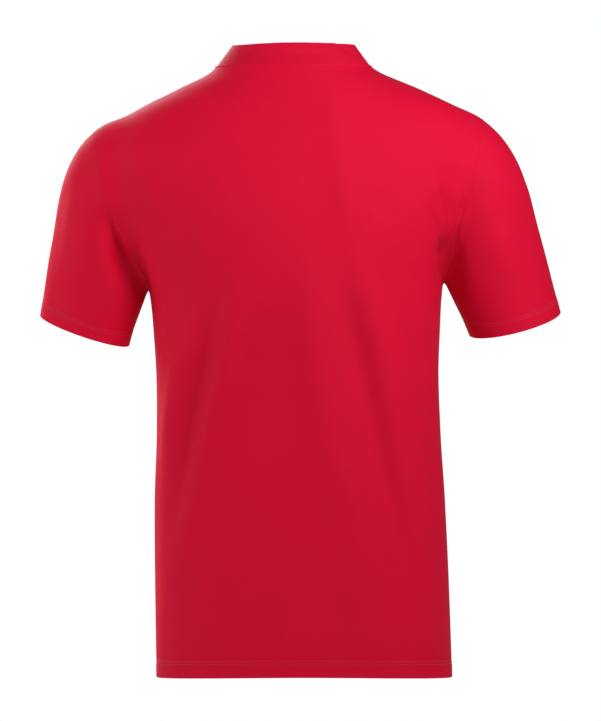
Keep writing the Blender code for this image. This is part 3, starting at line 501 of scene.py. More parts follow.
def armpit_fork(sleeve):
    """Where sleeve and torso part under the arm: of lines let down near the armpit, the highest way out."""
    out = np.linspace(-FORK_SEARCH, FORK_SEARCH, 97) + sleeve["armpit"][0]
    above = outward(sleeve, out, 0.0, sleeve["armpit"][1] + FORK_START)
    found = first_crossing(above, DOWN, 0.2)
    highest = np.argmax(np.where(found[:, 2] < above[:, 2] - FORK_START / 5, found[:, 2], -1))
    return np.array([out[highest], found[highest, 2]])


def sleeve_fan(sleeve):
    """Pivot of the rings, their angle, distance and half length at armhole and cuff.

    The armhole and the cuff are two straight lines in the front view, and the
    rings between them turn about the point where those lines meet.
    """
    tip, armpit = np.array(sleeve["tip"]), armpit_fork(sleeve)
    cuff = np.array(sleeve["cuff"])[[0, 2]]
    tilt = math.radians(sleeve["cuff_tilt"])
    armhole_way = unit(tip - armpit)
    cuff_way = np.array([math.cos(tilt), math.sin(tilt)])
    down = np.linalg.solve(np.column_stack([armhole_way, -cuff_way]), cuff - armpit)[0]
    pivot = armpit + down * armhole_way
    angles = (math.atan2(armhole_way[1], armhole_way[0]), tilt)
    reaches = (np.linalg.norm((tip + armpit) / 2 - pivot), np.linalg.norm(cuff - pivot))
    halves = (np.linalg.norm(tip - armpit) / 2, CUFF_HALF)
    return pivot, angles, reaches, halves


for sleeve in SLEEVES.values():
    sleeve["fan"] = sleeve_fan(sleeve)


def sleeve_rings(sleeve, share, turn):
    """Points on the sleeve by share of the way to the cuff and turn round the ring.

    Turn 0 is the shoulder's side of the ring, a quarter is its back, a half
    the underarm. Each point is where a line from the ring's centre leaves the
    form. The armhole bulges by bulge * sin(turn)^2, less towards the cuff.
    """
    share, turn = np.broadcast_arrays(share, turn)
    pivot, angles, reaches, halves = sleeve["fan"]
    angle = angles[0] + (angles[1] - angles[0]) * share
    reach = reaches[0] + (reaches[1] - reaches[0]) * share
    half = halves[0] + (halves[1] - halves[0]) * share
    depth = ARMHOLE_DEPTH + (SLEEVE["back"][1] - ARMHOLE_DEPTH) * share
    drop = math.radians(sleeve["cuff_drop"]) * share
    out, down = (np.cos(angle), np.sin(angle)), (np.sin(angle), -np.cos(angle))
    bulge = np.where(np.sin(turn) > 0, sleeve["back_bulge"], sleeve["front_bulge"])
    bulge = bulge * np.sin(turn) ** 2 * (1 - share) ** 2
    start = outward(sleeve, pivot[0] + reach * out[0] + bulge * down[0],
                    sleeve["cuff"][1] * share, pivot[1] + reach * out[1] + bulge * down[1])
    outer = half * np.cos(turn)
    rear = depth * np.sin(turn)
    way = outward(sleeve, outer * out[0] + rear * np.sin(drop) * down[0],
                  rear * np.cos(drop), outer * out[1] + rear * np.sin(drop) * down[1])
    return first_crossing(start, unit(way), 0.2)


print("armholes", {name: sleeve["fan"][3][0].round(3) for name, sleeve in SLEEVES.items()})


# %% Places along a line
CURVE_POINTS = 400           # that stand for a curve when it is measured


def spaced(length, step, *marks):
    """Places from 0 to 1 on a line, step apart, and closer near each mark (place, fine, reach), in mm.

    Near a mark the step falls from `step` to `fine` over `reach`. One over the
    step is summed up along the line, and the sum is cut into equal shares.
    """
    s = np.linspace(0, length, 4001)
    steps = np.full(s.shape, step)
    for place, fine, reach in marks:
        steps = np.minimum(steps, fine + (step - fine) * np.clip(np.abs(s - place) / reach, 0, 1))
    total = np.concatenate([[0], np.cumsum(np.diff(s) * 2 / (steps[1:] + steps[:-1]))])
    count = int(math.ceil(total[-1]))
    return np.interp(np.linspace(0, total[-1], count + 1), total, s) / length


def run_length(grid, axis=0):
    """Length along a line of points, or along each column or row of a grid, from its start."""
    step = np.linalg.norm(np.diff(grid, axis=axis), axis=-1)
    first = np.zeros_like(np.take(step, [0], axis=axis))
    return np.concatenate([first, np.cumsum(step, axis=axis)], axis=axis)


def turns_along(points_at, first, last, places):
    """Turns between two ends that put a curve's points at these shares of its length."""
    turn = np.linspace(first, last, CURVE_POINTS)
    length = run_length(points_at(turn))
    return np.interp(np.asarray(places) * length[-1], length, turn)


# %% [markdown]
# The rows of a panel are under 4 mm apart, and closer where the cloth does
# something small: at the hem's edge, at its stitching and at the neck seam.

# %% Side seam, armhole, shoulder seam, neckline and hem
NECK_X = 0.0042
NECK_HALF = 0.0890
NECK_BACK = 0.0625
NECK_FRONT = 0.0850
HEM_STITCHES = (15.5 * MM, 19.0 * MM)   # two rows, by height over the hem's edge
HEM_DEPTH = 21 * MM                     # how far the hem is turned up inside
HEM_MARKS = [(0, 0.7, 5), *((row / MM, 0.8, 5) for row in HEM_STITCHES)]
SIDE, ARMHOLE, SHOULDER, ACROSS = 455, 270, 155, 420    # about how long each edge of a panel is, in mm
ROW_STEP, COLUMN_STEP = 3.8, 3.6                        # mm
SIDE_PLACES = spaced(SIDE, ROW_STEP, *HEM_MARKS, (SIDE, 2.0, 50))
ARMHOLE_PLACES = spaced(ARMHOLE, ROW_STEP, (0, 2.0, 70))
SHOULDER_PLACES = spaced(SHOULDER, ROW_STEP, (SHOULDER - 3, 0.6, 6), (SHOULDER, 0.5, 6))
PANEL_PLACES = spaced(ACROSS, COLUMN_STEP, (0, 0.6, 3), (ACROSS, 0.6, 3), (0, 1.4, 50), (ACROSS, 1.4, 50))


def panel_side(sleeve, face):
    """One side of a body panel from hem to neck: side seam, armhole, shoulder seam."""
    side = sleeve["side"]
    turns = turns_along(lambda turn: sleeve_rings(sleeve, 0.0, turn), face * math.pi, 0.0, ARMHOLE_PLACES)
    armhole = sleeve_rings(sleeve, 0.0, turns)
    armhole[[0, -1], 1] = 0
    heights = HEM_HEIGHT + (armhole[0, 2] - HEM_HEIGHT) * SIDE_PLACES[:-1]
    centre = torso_section(heights, face)[0]
    inside = np.stack([centre, 0 * heights, heights], axis=-1)
    seam = first_crossing(inside, (float(side), 0.0, 0.0))
    neck = NECK_X + side * NECK_HALF
    x = armhole[-1, 0] + (neck - armhole[-1, 0]) * SHOULDER_PLACES[1:]
    return np.concatenate([seam, armhole, let_down(x, 0 * x)])


def neck_points(turn, face):
    """The neckline: an ellipse in plan, let down onto the form. Turn 0 is the wearer's left shoulder seam."""
    depth = np.where(face > 0, NECK_BACK, NECK_FRONT)
    return let_down(NECK_X + NECK_HALF * np.cos(turn), face * depth * np.sin(turn))


def torso_point(turn, height, face):
    """Point of the torso alone, half a turn round the back or the front."""
    centre, half, depth, n = torso_section(height, face)
    size = (np.abs(np.cos(turn)) ** n + np.abs(np.sin(turn)) ** n) ** (-1 / n)
    x, y = centre + half * size * np.cos(turn), face * depth * size * np.sin(turn)
    return np.stack([x, y, height], axis=-1)


def torso_turn(p, face):
    """Turn of a point round the torso, the reverse of torso_point."""
    centre, half, depth, _ = torso_section(p[..., 2], face)
    return np.arctan2(np.abs(p[..., 1]) / depth, (p[..., 0] - centre) / half)


def hem_points(turn, face):
    """The hem, which hangs lowest at the side seams."""
    return torso_point(turn, HEM_HEIGHT + HEM_RISE * np.sin(turn) ** 2, face)


ROWS = len(SIDE_PLACES) + len(ARMHOLE_PLACES) + len(SHOULDER_PLACES) - 2
ARMPIT_ROW = len(SIDE_PLACES) - 1
TIP_ROW = ARMPIT_ROW + len(ARMHOLE_PLACES) - 1
print(ROWS, "rows,", len(PANEL_PLACES), "columns")


# %% [markdown]
# ## Panels
# A body panel lies between four seams. Its grid is filled in between them and
# then slid onto the form, which is quicker and smoother than simulating cloth.

# %% Grid between four seams
def between(bottom, top, left, right, u, v):
    """Values inside four edges: bottom to top, plus left to right, less the corners twice counted."""
    u, v = u[None, :, None], v[:, None, None]
    corners = ((1 - u) * (1 - v) * bottom[0] + u * (1 - v) * bottom[-1]
               + (1 - u) * v * top[0] + u * v * top[-1])
    return ((1 - v) * bottom[None] + v * top[None]
            + (1 - u) * left[:, None] + u * right[:, None] - corners)


def panel_patch(face, bottom, top, left, right, u):
    """Grid of points on the form between four seams.

    The seams are first filled in as turn and height on the torso. What the
    seams stand off the torso is filled in too and added, and the points
    inside are then moved onto the form.
    """
    edges = (bottom, top, left, right)
    v = np.linspace(0, 1, len(left))
    turn, height = np.moveaxis(between(*(np.stack([torso_turn(e, face), e[:, 2]], axis=-1)
                                         for e in edges), u, v), -1, 0)
    grid = torso_point(turn, height, face)
    grid = grid + between(bottom - grid[0], top - grid[-1], left - grid[:, 0], right - grid[:, -1], u, v)
    grid[1:-1, 1:-1] = onto_form(grid[1:-1, 1:-1])
    return grid


def panel_part(face, left, right, hem_ends, neck_ends, u):
    """Grid between two edges of a panel, its hem and neckline cut into the shares u of their length."""
    hem = hem_points(turns_along(lambda turn: hem_points(turn, face), *hem_ends, u), face)
    neck = neck_points(turns_along(lambda turn: neck_points(turn, face), *neck_ends, u), face)
    hem[[0, -1]] = left[0], right[0]
    neck[[0, -1]] = left[-1], right[-1]
    return panel_patch(face, hem, neck, left, right, u)


def back_grid():
    """The back: rows from hem to neck, columns from the wearer's left to right."""
    left, right = (panel_side(sleeve, 1) for sleeve in SLEEVES.values())
    return panel_part(1, left, right, (0, math.pi), (0, math.pi), PANEL_PLACES)


back = back_grid()
print("back", back.shape, "from", back[..., 2].min().round(4), "to", back[..., 2].max().round(4))

# %% [markdown]
# The front has one more cut: a slash from the neckline down the centre, which
# the two placket strips fill. Its rows sag a little towards the middle, so that
# they cross the armholes at an open angle.

# %% The front, slashed for the placket
PLACKET_HALF = 0.0150
PLACKET_LENGTH = 0.1500
STRIP_PLACES = np.linspace(0, 1, 11)
FRONT_PLACES = spaced(ACROSS / 2, COLUMN_STEP, (0, 0.6, 3), (0, 1.6, 50), (ACROSS / 2, 0.6, 5))
ARMPIT_SAG, TIP_SAG = 0.050, 0.020      # how far the rows at the armpit and at the shoulder sag


def front_line(x, heights):
    """Points down the front at one x, or at an x for each height."""
    inside = np.stack([0 * heights + x, 0 * heights, heights], axis=-1)
    return first_crossing(inside, (0.0, -1.0, 0.0))


def front_grid():
    """The front, as the back, in three parts: wearer's left, the placket's width, wearer's right.

    Returns the grid, the row of the slash's lower end, and its first and last column.
    """
    left, right = (panel_side(sleeve, -1) for sleeve in SLEEVES.values())
    x = np.linspace(PLACKET_HALF, -PLACKET_HALF, len(STRIP_PLACES))
    neck = neck_points(np.arccos((x - NECK_X) / NECK_HALF), -1)
    turns = np.linspace(0, math.pi, CURVE_POINTS)
    hem_turns = np.interp(-x, -hem_points(turns, -1)[:, 0], turns)
    hem = hem_points(hem_turns, -1)
    armpit, tip = ((left[row, 2] + right[row, 2]) / 2 for row in (ARMPIT_ROW, TIP_ROW))
    rows = np.arange(ROWS)
    slash = neck[len(x) // 2, 2] - PLACKET_LENGTH
    even = np.interp(rows, [0, ARMPIT_ROW, TIP_ROW, ROWS - 1],
                     [HEM_HEIGHT, armpit - ARMPIT_SAG, tip - TIP_SAG, neck[len(x) // 2, 2]])
    slash_row = int(np.argmin(np.abs(even - slash)))
    side_share = SIDE_PLACES * ARMPIT_ROW
    lines = []
    for column in (0, -1):
        marks = [hem[column, 2], armpit - ARMPIT_SAG, slash, tip - TIP_SAG, neck[column, 2]]
        places = np.concatenate([side_share, rows[ARMPIT_ROW + 1:]])
        line = front_line(x[column], np.interp(places, [0, ARMPIT_ROW, slash_row, TIP_ROW, ROWS - 1], marks))
        line[0], line[-1] = hem[column], neck[column]
        lines.append(line)
    neck_turns = np.arccos((x[[0, -1]] - NECK_X) / NECK_HALF)
    grid = np.concatenate([
        panel_part(-1, left, lines[0], (0, hem_turns[0]), (0, neck_turns[0]), FRONT_PLACES),
        panel_patch(-1, hem, neck, *lines, STRIP_PLACES)[:, 1:-1],
        panel_part(-1, lines[1], right, (hem_turns[-1], math.pi), (neck_turns[1], math.pi),
                   1 - FRONT_PLACES[::-1]),
    ], axis=1)
    first = len(FRONT_PLACES) - 1
    return grid, slash_row, (first, first + len(x) - 1)


front, slash_row, slash_columns = front_grid()
print("front", front.shape, "slash from row", slash_row)

# %% [markdown]
# ## From points to cloth
# Cloth has a face, a thickness and a place on the flat bolt it was cut from. The
# grid is the face. A Solidify modifier gives it its 0.8 mm, and the UV map holds
# each point's place on the flat cloth in metres, so that the knit keeps its size.

# %% Flat places, and a sheet of cloth from a grid
CLOTH = 0.8 * MM              # one layer of knit
LIFT = 1.2 * MM               # the face lies this far out from the form
HEM_GAP = 0.1 * MM            # between a hem's two layers
ROLL_STEPS = 6                # faces round the half circle of a hem's edge
RIM_ANGLE = math.radians(55)  # a cut edge is sharper than any fold
Sewn = namedtuple("Sewn", "piece face normal flat")


def flat_places(grid, middle):
    """Place of each point on the flat cloth: across from the middle column, and up from the first row."""
    across = run_length(grid, 1)
    return np.stack([across - across[:, [middle]], run_length(grid)], axis=-1)


def flat_places_level(grid, middle):
    """As flat_places, but up is measured on the middle column, at the point's own height.

    The columns of a body panel bend sharply where the armhole ends, and lengths
    along them would squeeze the knit there. Past the ends of the middle column
    the height itself is added.
    """
    flat = flat_places(grid, middle)
    height, line = grid[..., 2], grid[:, middle, 2]
    flat[..., 1] = np.interp(height, line, flat[:, middle, 1]) + height - np.clip(height, line[0], line[-1])
    return flat


def turned_hem(face, normal, flat, depth):
    """The grid with its first rows turned up inside, as a hem.

    The cloth runs down to the edge, round a half circle of radius r, and up
    again 2 r behind its face, until the hem's depth is reached.
    """
    radius = CLOTH + HEM_GAP / 2
    down = unit(face[0] - face[1])
    angle = np.linspace(0, math.pi, ROLL_STEPS + 1)[1:-1, None, None]
    roll = face[0] - normal[0] * radius * (1 - np.cos(angle)) + down * radius * np.sin(angle)
    up = int(np.argmax(run_length(face).mean(axis=1) > depth))
    inside = face[:up + 1] - 2 * radius * normal[:up + 1]
    roll_flat = flat[0] - np.array([0.0, 1.0]) * radius * angle
    inside_flat = flat[:up + 1] * [1, -1] - np.array([0.0, 1.0]) * radius * math.pi
    return (np.concatenate([inside[::-1], roll[::-1], face]),
            np.concatenate([inside_flat[::-1], roll_flat[::-1], flat]))


def cell_corners(rows, columns):
    """Row and column numbers of the four corners of each cell of a grid, in order round it."""
    r, c = np.meshgrid(np.arange(rows - 1), np.arange(columns - 1), indexing="ij")
    return np.stack([r, r, r + 1, r + 1], axis=-1), np.stack([c, c + 1, c + 1, c], axis=-1)


def face_inward(points, quads, outside):
    """Whether faces on the whole turn their backs to rough outward vectors, one for each face."""
    a, b, d = points[quads[:, 0]], points[quads[:, 1]], points[quads[:, 3]]
    return np.sum(np.cross(b - a, d - a) * outside) < 0


def cloth_mesh(name, points, quads, places):
    """Mesh of the points that the quads use. The UV map holds each corner's flat place."""
    used, quads = np.unique(quads, return_inverse=True)
    mesh = bpy.data.meshes.new(name)
    mesh.from_pydata(points[used].tolist(), [], quads.reshape(-1, 4).tolist())
    layer = mesh.uv_layers.new(name="flat_cloth")
    layer.data.foreach_set("uv", places.reshape(-1).astype(np.float32))
    return mesh


def linked(name, mesh):
    """Object of a mesh, at the origin."""
    obj = bpy.data.objects.new(name, mesh)
    scene.collection.objects.link(obj)
    print(name, len(mesh.vertices), "points,", len(mesh.polygons), "faces")
    return obj


def settle(piece, node=None):
    """Put a piece on the root body, and in the place of its CAD node if it has one."""
    if node is not None:
        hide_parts(node)
    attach(piece, "root")
    return piece


def add_cloth(name, grid, flat, outside, ring=False, leave_out=None):
    """Object of a cloth's face, thickened away from its face by a Solidify modifier that is then applied.

    `outside` holds a rough outward vector for each point, and turns the faces
    the right way. A ring's last column repeats its first, with its own flat place.
    The cut edges are marked sharp, or their shading would darken the seams.
    """
    rows, columns = grid.shape[:2]
    count = columns - 1 if ring else columns
    keep = np.ones((rows - 1, columns - 1), dtype=bool)
    if leave_out is not None:
        keep[leave_out] = False
    corner_r, corner_c = (corner[keep] for corner in cell_corners(rows, columns))
    points = grid[:, :count].reshape(-1, 3)
    quads = corner_r * count + corner_c % count
    if face_inward(points, quads, outside[corner_r[:, 0], corner_c[:, 0]]):
        quads, corner_r, corner_c = (x[:, ::-1] for x in (quads, corner_r, corner_c))
    obj = linked(name, cloth_mesh(name, points, quads, flat[corner_r, corner_c]))
    wall = obj.modifiers.new("thickness", "SOLIDIFY")
    wall.thickness = CLOTH
    wall.offset = -1
    wall.use_even_offset = False
    depsgraph = bpy.context.evaluated_depsgraph_get()
    thick = bpy.data.meshes.new_from_object(obj.evaluated_get(depsgraph), depsgraph=depsgraph)
    obj.modifiers.clear()
    obj.data = thick
    thick.name = name
    thick.shade_smooth()
    thick.set_sharp_from_angle(angle=RIM_ANGLE)
    return obj


def add_hemmed(name, node, face, normal, flat, ring=False, leave_out=None):
    """A sheet of knit with its first rows turned up as a hem, in the place of its CAD node."""
    sheet, sheet_flat = turned_hem(face, normal, flat, HEM_DEPTH)
    extra = len(sheet) - len(face)
    outside = np.concatenate([np.zeros((extra, *normal.shape[1:])), normal])
    if leave_out is not None:
        leave_out = (slice(leave_out[0].start + extra, None), leave_out[1])
    piece = settle(add_cloth(name, sheet, sheet_flat, outside, ring, leave_out), node)
    return Sewn(piece, face, normal, flat)


# %% [markdown]
# ## Seams and hems as relief
# Where two panels are sewn, their edges sink into a narrow groove, and the seam
# allowance under the cloth lifts a low ridge beside it. At the neck the cloth
# rolls up against the collar as a thin cord of an edge, which catches the light.
# Each row of hem stitches pulls the cloth in a little.

# %% Relief near seams and hems
# each bead of relief: how far from the edge, width, height, all in mm
SEAM_BEADS = ((1.5, 1.0, 0.45), (0, 0.5, -0.15))
ARMHOLE_BEADS = ((1.5, 1.0, 0.15), (0, 0.5, -0.15))
NECK_BEADS = ((1.0, 0.9, 0.95), (3.6, 1.6, -0.25))
STITCH_BEADS = tuple((row / MM, 0.9, -0.45) for row in HEM_STITCHES)
HEM_STEP = 0.35 * MM         # the hem's second layer lifts it by this
HEM_STEP_WIDTH = 0.6 * MM
SEAM_GAP = 0.03 * MM
RIPPLE_FADE = 0.02           # the ripples fade over this distance from a seam


def bell(distance, width):
    """exp(-(distance / width)^2)."""
    return np.exp(-(distance / width) ** 2)


def relief(distance, beads):
    """Relief by distance from an edge: a sum of bells."""
    return sum(height * MM * bell(distance - place * MM, width * MM) for place, width, height in beads)


def hem_relief(height):
    """Relief over the hem by height above its edge: a low step, with a groove at each row of stitches."""
    step = HEM_STEP / (1 + np.exp(np.clip((height - HEM_STITCHES[1]) / HEM_STEP_WIDTH, -30, 30)))
    return step + relief(height, STITCH_BEADS)


def outer_face(grid, seams, ring=False):
    """The outer face of a piece with folds and relief, and its normals.

    `seams` holds pairs of distances and beads; the first distance also fades
    the ripples. The side columns and the last row are moved in by the seam
    gap, so that seams touch but don't cross.
    """
    normal = form_normal(grid)
    lift = LIFT + fold_height(grid, normal) + ripple_height(grid) * np.clip(seams[0][0] / RIPPLE_FADE, 0, 1)
    lift += sum(relief(distance, beads) for distance, beads in seams) + hem_relief(run_length(grid))
    parted = grid.copy()
    pairs = [((-1,), (-2,))]
    if not ring:
        pairs += [((slice(None), 0), (slice(None), 1)), ((slice(None), -1), (slice(None), -2))]
    for edge, beside in pairs:
        parted[edge] += SEAM_GAP * unit(parted[beside] - parted[edge])
    return parted + lift[..., None] * normal, normal


def make_body_panel(name, node, grid, leave_out=None):
    """A body panel, with its side seams, armholes and neck seam."""
    across, along = run_length(grid, 1), run_length(grid)
    side = np.minimum(across, across[:, -1:] - across)
    face, normal = outer_face(grid, [(side, SEAM_BEADS), (along[-1:] - along, NECK_BEADS)])
    flat = flat_places_level(face, grid.shape[1] // 2)
    return add_hemmed(name, node, face, normal, flat, leave_out=leave_out)


slash = (slice(slash_row, None), slice(*slash_columns))
sewn = {"back_panel": make_body_panel("back_panel", "back", back),
        "front_panel": make_body_panel("front_panel", "front", front, leave_out=slash)}

# %% [markdown]
# ## Sleeves
# A sleeve is one piece of cloth sewn into a tube under the arm. Its rings run
# from the armhole to the cuff, and the cuff is turned up like the hem.

# %% Both sleeves
SLEEVE_LENGTH = 225          # mm, about
SLEEVE_SHARES = spaced(SLEEVE_LENGTH, 3.2, (0, 0.6, 5),
                       *((SLEEVE_LENGTH - place, *rest) for place, *rest in HEM_MARKS))
RING_STEPS = 104
TUCK_REACH = 10 * MM         # past the armhole, where a sleeve lies deepest behind the body
TUCK_TURN = math.radians(134)
TUCK_SPREAD = math.radians(30)
TUCK_IN_FRONT = 0.6          # as a share of the depth behind


def tuck(distance, turn, depth):
    """How far a sleeve dives behind the body past its seam, low on the back and on the front.

    depth * (distance / w) * exp(1 - distance / w), which is deepest at w, times
    a bell round the turn at which the armhole faces down and back, or front.
    """
    share = distance / TUCK_REACH
    low = bell(turn - TUCK_TURN, TUCK_SPREAD) + TUCK_IN_FRONT * bell(turn + TUCK_TURN, TUCK_SPREAD)
    return depth * share * np.exp(1 - share) * low


def make_sleeve(name, node, sleeve):
    """A sleeve: rows from cuff to armhole, columns round from the underarm."""
    turn = turns_along(lambda turn: sleeve_rings(sleeve, 0.5, turn), math.pi, -math.pi,
                       np.linspace(0, 1, RING_STEPS + 1))
    grid = sleeve_rings(sleeve, SLEEVE_SHARES[::-1, None], turn[None, :])
    along, around = run_length(grid), run_length(grid, 1)
    underarm, armhole = np.minimum(around, around[:, -1:] - around), along[-1:] - along
    face, normal = outer_face(grid, [(armhole, ARMHOLE_BEADS), (underarm, SEAM_BEADS)], ring=True)
    face = face - tuck(armhole, turn, sleeve["tuck"])[..., None] * normal
    return add_hemmed(name, node, face, normal, flat_places(face, RING_STEPS // 2), ring=True)


for name, sleeve in SLEEVES.items():
    sewn[name + "_cloth"] = make_sleeve(name + "_cloth", name, sleeve)

# %% [markdown]
# ## Folded strips: collar and placket
# The collar and the placket strips are cut twice as wide as they show and folded
# double, so they have no raw edge. Such a strip is a very thin cushion: its two
# faces lie half its thickness on either side of its middle, and close in a half
# circle at every edge.

# %% A strip with closed, rounded edges
STRIP = 2.0 * MM             # a strip folded double
EDGE_STEPS = np.array([0, 0.03, 0.12, 0.30, 0.60, 1.0]) * MM


def edged_places(length, step):
    """Places from 0 to 1: the rounded edge's own steps at both ends, even steps between."""
    inner = np.linspace(EDGE_STEPS[-1], length - EDGE_STEPS[-1],
                        int(round((length - 2 * EDGE_STEPS[-1]) / step)) + 1)
    return np.concatenate([EDGE_STEPS[:-1], inner, (length - EDGE_STEPS[:-1])[::-1]]) / length


def add_strip(name, node, slot, middle, normal, flat):
    """A folded strip about a grid of middle points, in the place of its CAD node.

    With d the distance to the nearest edge and h half the thickness, each face
    stands off the middle by h * sqrt(1 - (1 - d / h)^2) near an edge and by h
    further in. The two faces share the points of the edge.
    """
    half = STRIP / 2
    across, along = run_length(middle, 1), run_length(middle)
    edge = np.minimum(np.minimum(across, across[:, -1:] - across), np.minimum(along, along[-1:] - along))
    stand = half * np.sqrt(np.clip(1 - (1 - np.clip(edge / half, 0, 1)) ** 2, 0, 1))
    points = np.concatenate([(middle + side * stand[..., None] * normal).reshape(-1, 3) for side in (1, -1)])
    rows, columns = middle.shape[:2]
    number = np.arange(rows * columns).reshape(rows, columns)
    back_number = number + rows * columns
    for line in ((0,), (-1,), (slice(None), 0), (slice(None), -1)):
        back_number[line] = number[line]
    corners = tuple(corner.reshape(-1, 4) for corner in cell_corners(rows, columns))
    outer, inner = number[corners], back_number[corners]
    outer_places = inner_places = flat[corners]
    if face_inward(points, outer, normal[corners][:, 0]):
        outer, outer_places = outer[:, ::-1], outer_places[:, ::-1]
    else:
        inner, inner_places = inner[:, ::-1], inner_places[:, ::-1]
    mesh = cloth_mesh(name, points, np.concatenate([outer, inner]),
                      np.concatenate([outer_places, inner_places]))
    mesh.shade_smooth()
    return Sewn(settle(linked(name, mesh), node), middle, normal, flat)


# %% [markdown]
# The collar is a low rib band that stands up round the neck and leans in a
# little. It is ruled: straight from the neckline to its upper edge. Its two
# front corners are rounded off.

# %% The collar
COLLAR_TOP_HALF = 0.0702
COLLAR_TOP_BACK = 0.0520
COLLAR_TOP_FRONT = 0.0725
COLLAR_RISE_SIDE = 0.0258
COLLAR_RISE_BACK = 0.0246
COLLAR_RISE_FRONT = 0.0255
COLLAR_CORNER = 0.0080       # radius of its two front corners
COLLAR_END = 0.0020          # from the centre front
COLLAR_FOOT = (0.9 * MM, 0.6 * MM)      # the band starts this far out of the neckline, and below it
COLLAR_STEPS = (1.7 * MM, 1.3 * MM)     # along and up
COLLAR_FOLDS = {
    "back": (
        (-38, 29, -52, 20, -66, 9, 2.0, -1.8),
        (-33, 30, -47, 23, -60, 14, 2.2, 1.2),
        (52, 8, 0, 12, -52, 9, 3.4, -1.3),
        (52, 26, 58, 16, 62, 4, 5, -0.7),
        (10, 26, 14, 14, 13, 2, 9, 0.5),
    ),
    "front": (
        (40, -20, 52, -30, 62, -38, 3, -0.7),
        (-34, -24, -46, -32, -58, -38, 3, -0.7),
    ),
}


def turn_and_face(run):
    """Turn and face of a walk round the neckline: under 0 and over pi it is on the front."""
    front = (run < 0) | (run > math.pi)
    return np.where(run < 0, -run, np.where(run > math.pi, 2 * math.pi - run, run)), np.where(front, -1, 1)


def collar_middle():
    """Middle points of the collar from neckline to upper edge, their normals and flat places.

    The neckline is walked from the wearer's left front round the back. The
    upper edge is an ellipse in plan, rise over the neckline; away from the
    band is the cross product of the way along and the way up.
    """
    first, last = (math.acos((end - NECK_X) / NECK_HALF) for end in (COLLAR_END, -COLLAR_END))
    run = np.concatenate([np.linspace(-first, 0, CURVE_POINTS)[:-1],
                          np.linspace(0, math.pi, CURVE_POINTS)[:-1],
                          np.linspace(math.pi, 2 * math.pi - last, CURVE_POINTS)])
    length = run_length(neck_points(*turn_and_face(run)))
    at = edged_places(length[-1], COLLAR_STEPS[0]) * length[-1]
    turn, face = turn_and_face(np.interp(at, length, run))
    neck = neck_points(turn, face)
    out = form_normal(neck)
    neck = neck + fold_height(neck, out)[:, None] * out
    share = (np.sin(turn) ** 2 + 0.002) ** 0.3
    rise_end = np.where(face > 0, COLLAR_RISE_BACK, COLLAR_RISE_FRONT)
    depth = np.where(face > 0, COLLAR_TOP_BACK, COLLAR_TOP_FRONT)
    top = np.stack([NECK_X + COLLAR_TOP_HALF * np.cos(turn), face * depth * np.sin(turn),
                    neck[:, 2] + COLLAR_RISE_SIDE + (rise_end - COLLAR_RISE_SIDE) * share], axis=-1)
    height = np.linalg.norm(top - neck, axis=1)
    up = (top - neck) / height[:, None]
    missing = 1 - np.clip(np.minimum(at, length[-1] - at) / COLLAR_CORNER, 0, 1)
    height = height - COLLAR_CORNER * (1 - np.sqrt(1 - missing ** 2))
    base = neck + COLLAR_FOOT[0] * out - COLLAR_FOOT[1] * up
    away = unit(np.cross(np.gradient(base, axis=0), up))
    away *= np.sign(np.sum(away * out, axis=1, keepdims=True))
    rise = edged_places(float(np.median(height)), COLLAR_STEPS[1])[:, None] * height
    middle = base + up * rise[..., None] - STRIP / 2 * away
    away = np.broadcast_to(away, middle.shape)
    middle = middle + fold_height(middle, away, COLLAR_FOLDS)[..., None] * away
    return middle, away, np.stack([np.broadcast_to(at, rise.shape), rise], axis=-1)


sewn["collar_band"] = add_strip("collar_band", "collar", "collar_rib", *collar_middle())

# %% [markdown]
# The placket is the short opening down the front. Its upper strip fills the
# slash and stands out of the front by its thickness. The under strip lies behind.

# %% The two placket strips
PLACKET_UNDER_HALF = 0.0190
STRIP_GAP = 0.3 * MM         # from the form to a strip
STRIP_STEPS = (1.6 * MM, 1.8 * MM)      # across and up
slash_foot = float(front[slash_row, slash_columns, 2].mean())


def placket_grid(half, trim):
    """Points on the form over the slash, their normals and flat places; trim is taken off every edge."""
    half = half - trim
    x = (1 - 2 * edged_places(2 * half, STRIP_STEPS[0])) * half
    top = neck_points(np.arccos((x - NECK_X) / NECK_HALF), -1)[:, 2] - trim
    foot = slash_foot + trim
    share = edged_places(float(top.mean() - foot), STRIP_STEPS[1])[:, None]
    heights = foot + (top - foot) * share
    grid = front_line(np.broadcast_to(x, heights.shape), heights)
    normal = form_normal(grid)
    flat = np.stack([np.broadcast_to(x, heights.shape), run_length(grid, 0)], axis=-1)
    return grid + fold_height(grid, normal)[..., None] * normal, normal, flat


for name, node, half, trim, side in (
        ("placket_upper_strip", "placket_top", PLACKET_HALF, 0.3 * MM, 1),
        ("placket_under_strip", "placket_under", PLACKET_UNDER_HALF, 0.6 * MM, -1)):
    grid, normal, flat = placket_grid(half, trim)
    middle = grid + side * (STRIP_GAP + STRIP / 2) * normal
    sewn[name] = add_strip(name, node, "knit", middle, normal, flat)._replace(flat=flat_places(middle, 0))

# %% [markdown]
# ## Buttons
# A shirt button is turned from a rod of resin, with a raised rim and a shallow
# dish. Its profile is carried round its axis, and a hole is cut through its
# middle with a Boolean modifier that is then applied.

# %% Buttons
# radius and height, in mm, from the middle of the dish over the rim to the middle of the base
BUTTON_PROFILE = np.array([
    (0.0, 1.75), (1.2, 1.76), (2.4, 1.80), (3.1, 1.88), (3.5, 2.05), (3.9, 2.27), (4.3, 2.38), (4.7, 2.39),
    (5.1, 2.25), (5.37, 1.92), (5.5, 1.45), (5.42, 1.0), (5.1, 0.55), (4.6, 0.22), (4.1, 0.04), (3.6, 0.0),
    (0.0, 0.0)]) * MM
BUTTON_SIDES = 56
BUTTON_EDGE = math.radians(35)
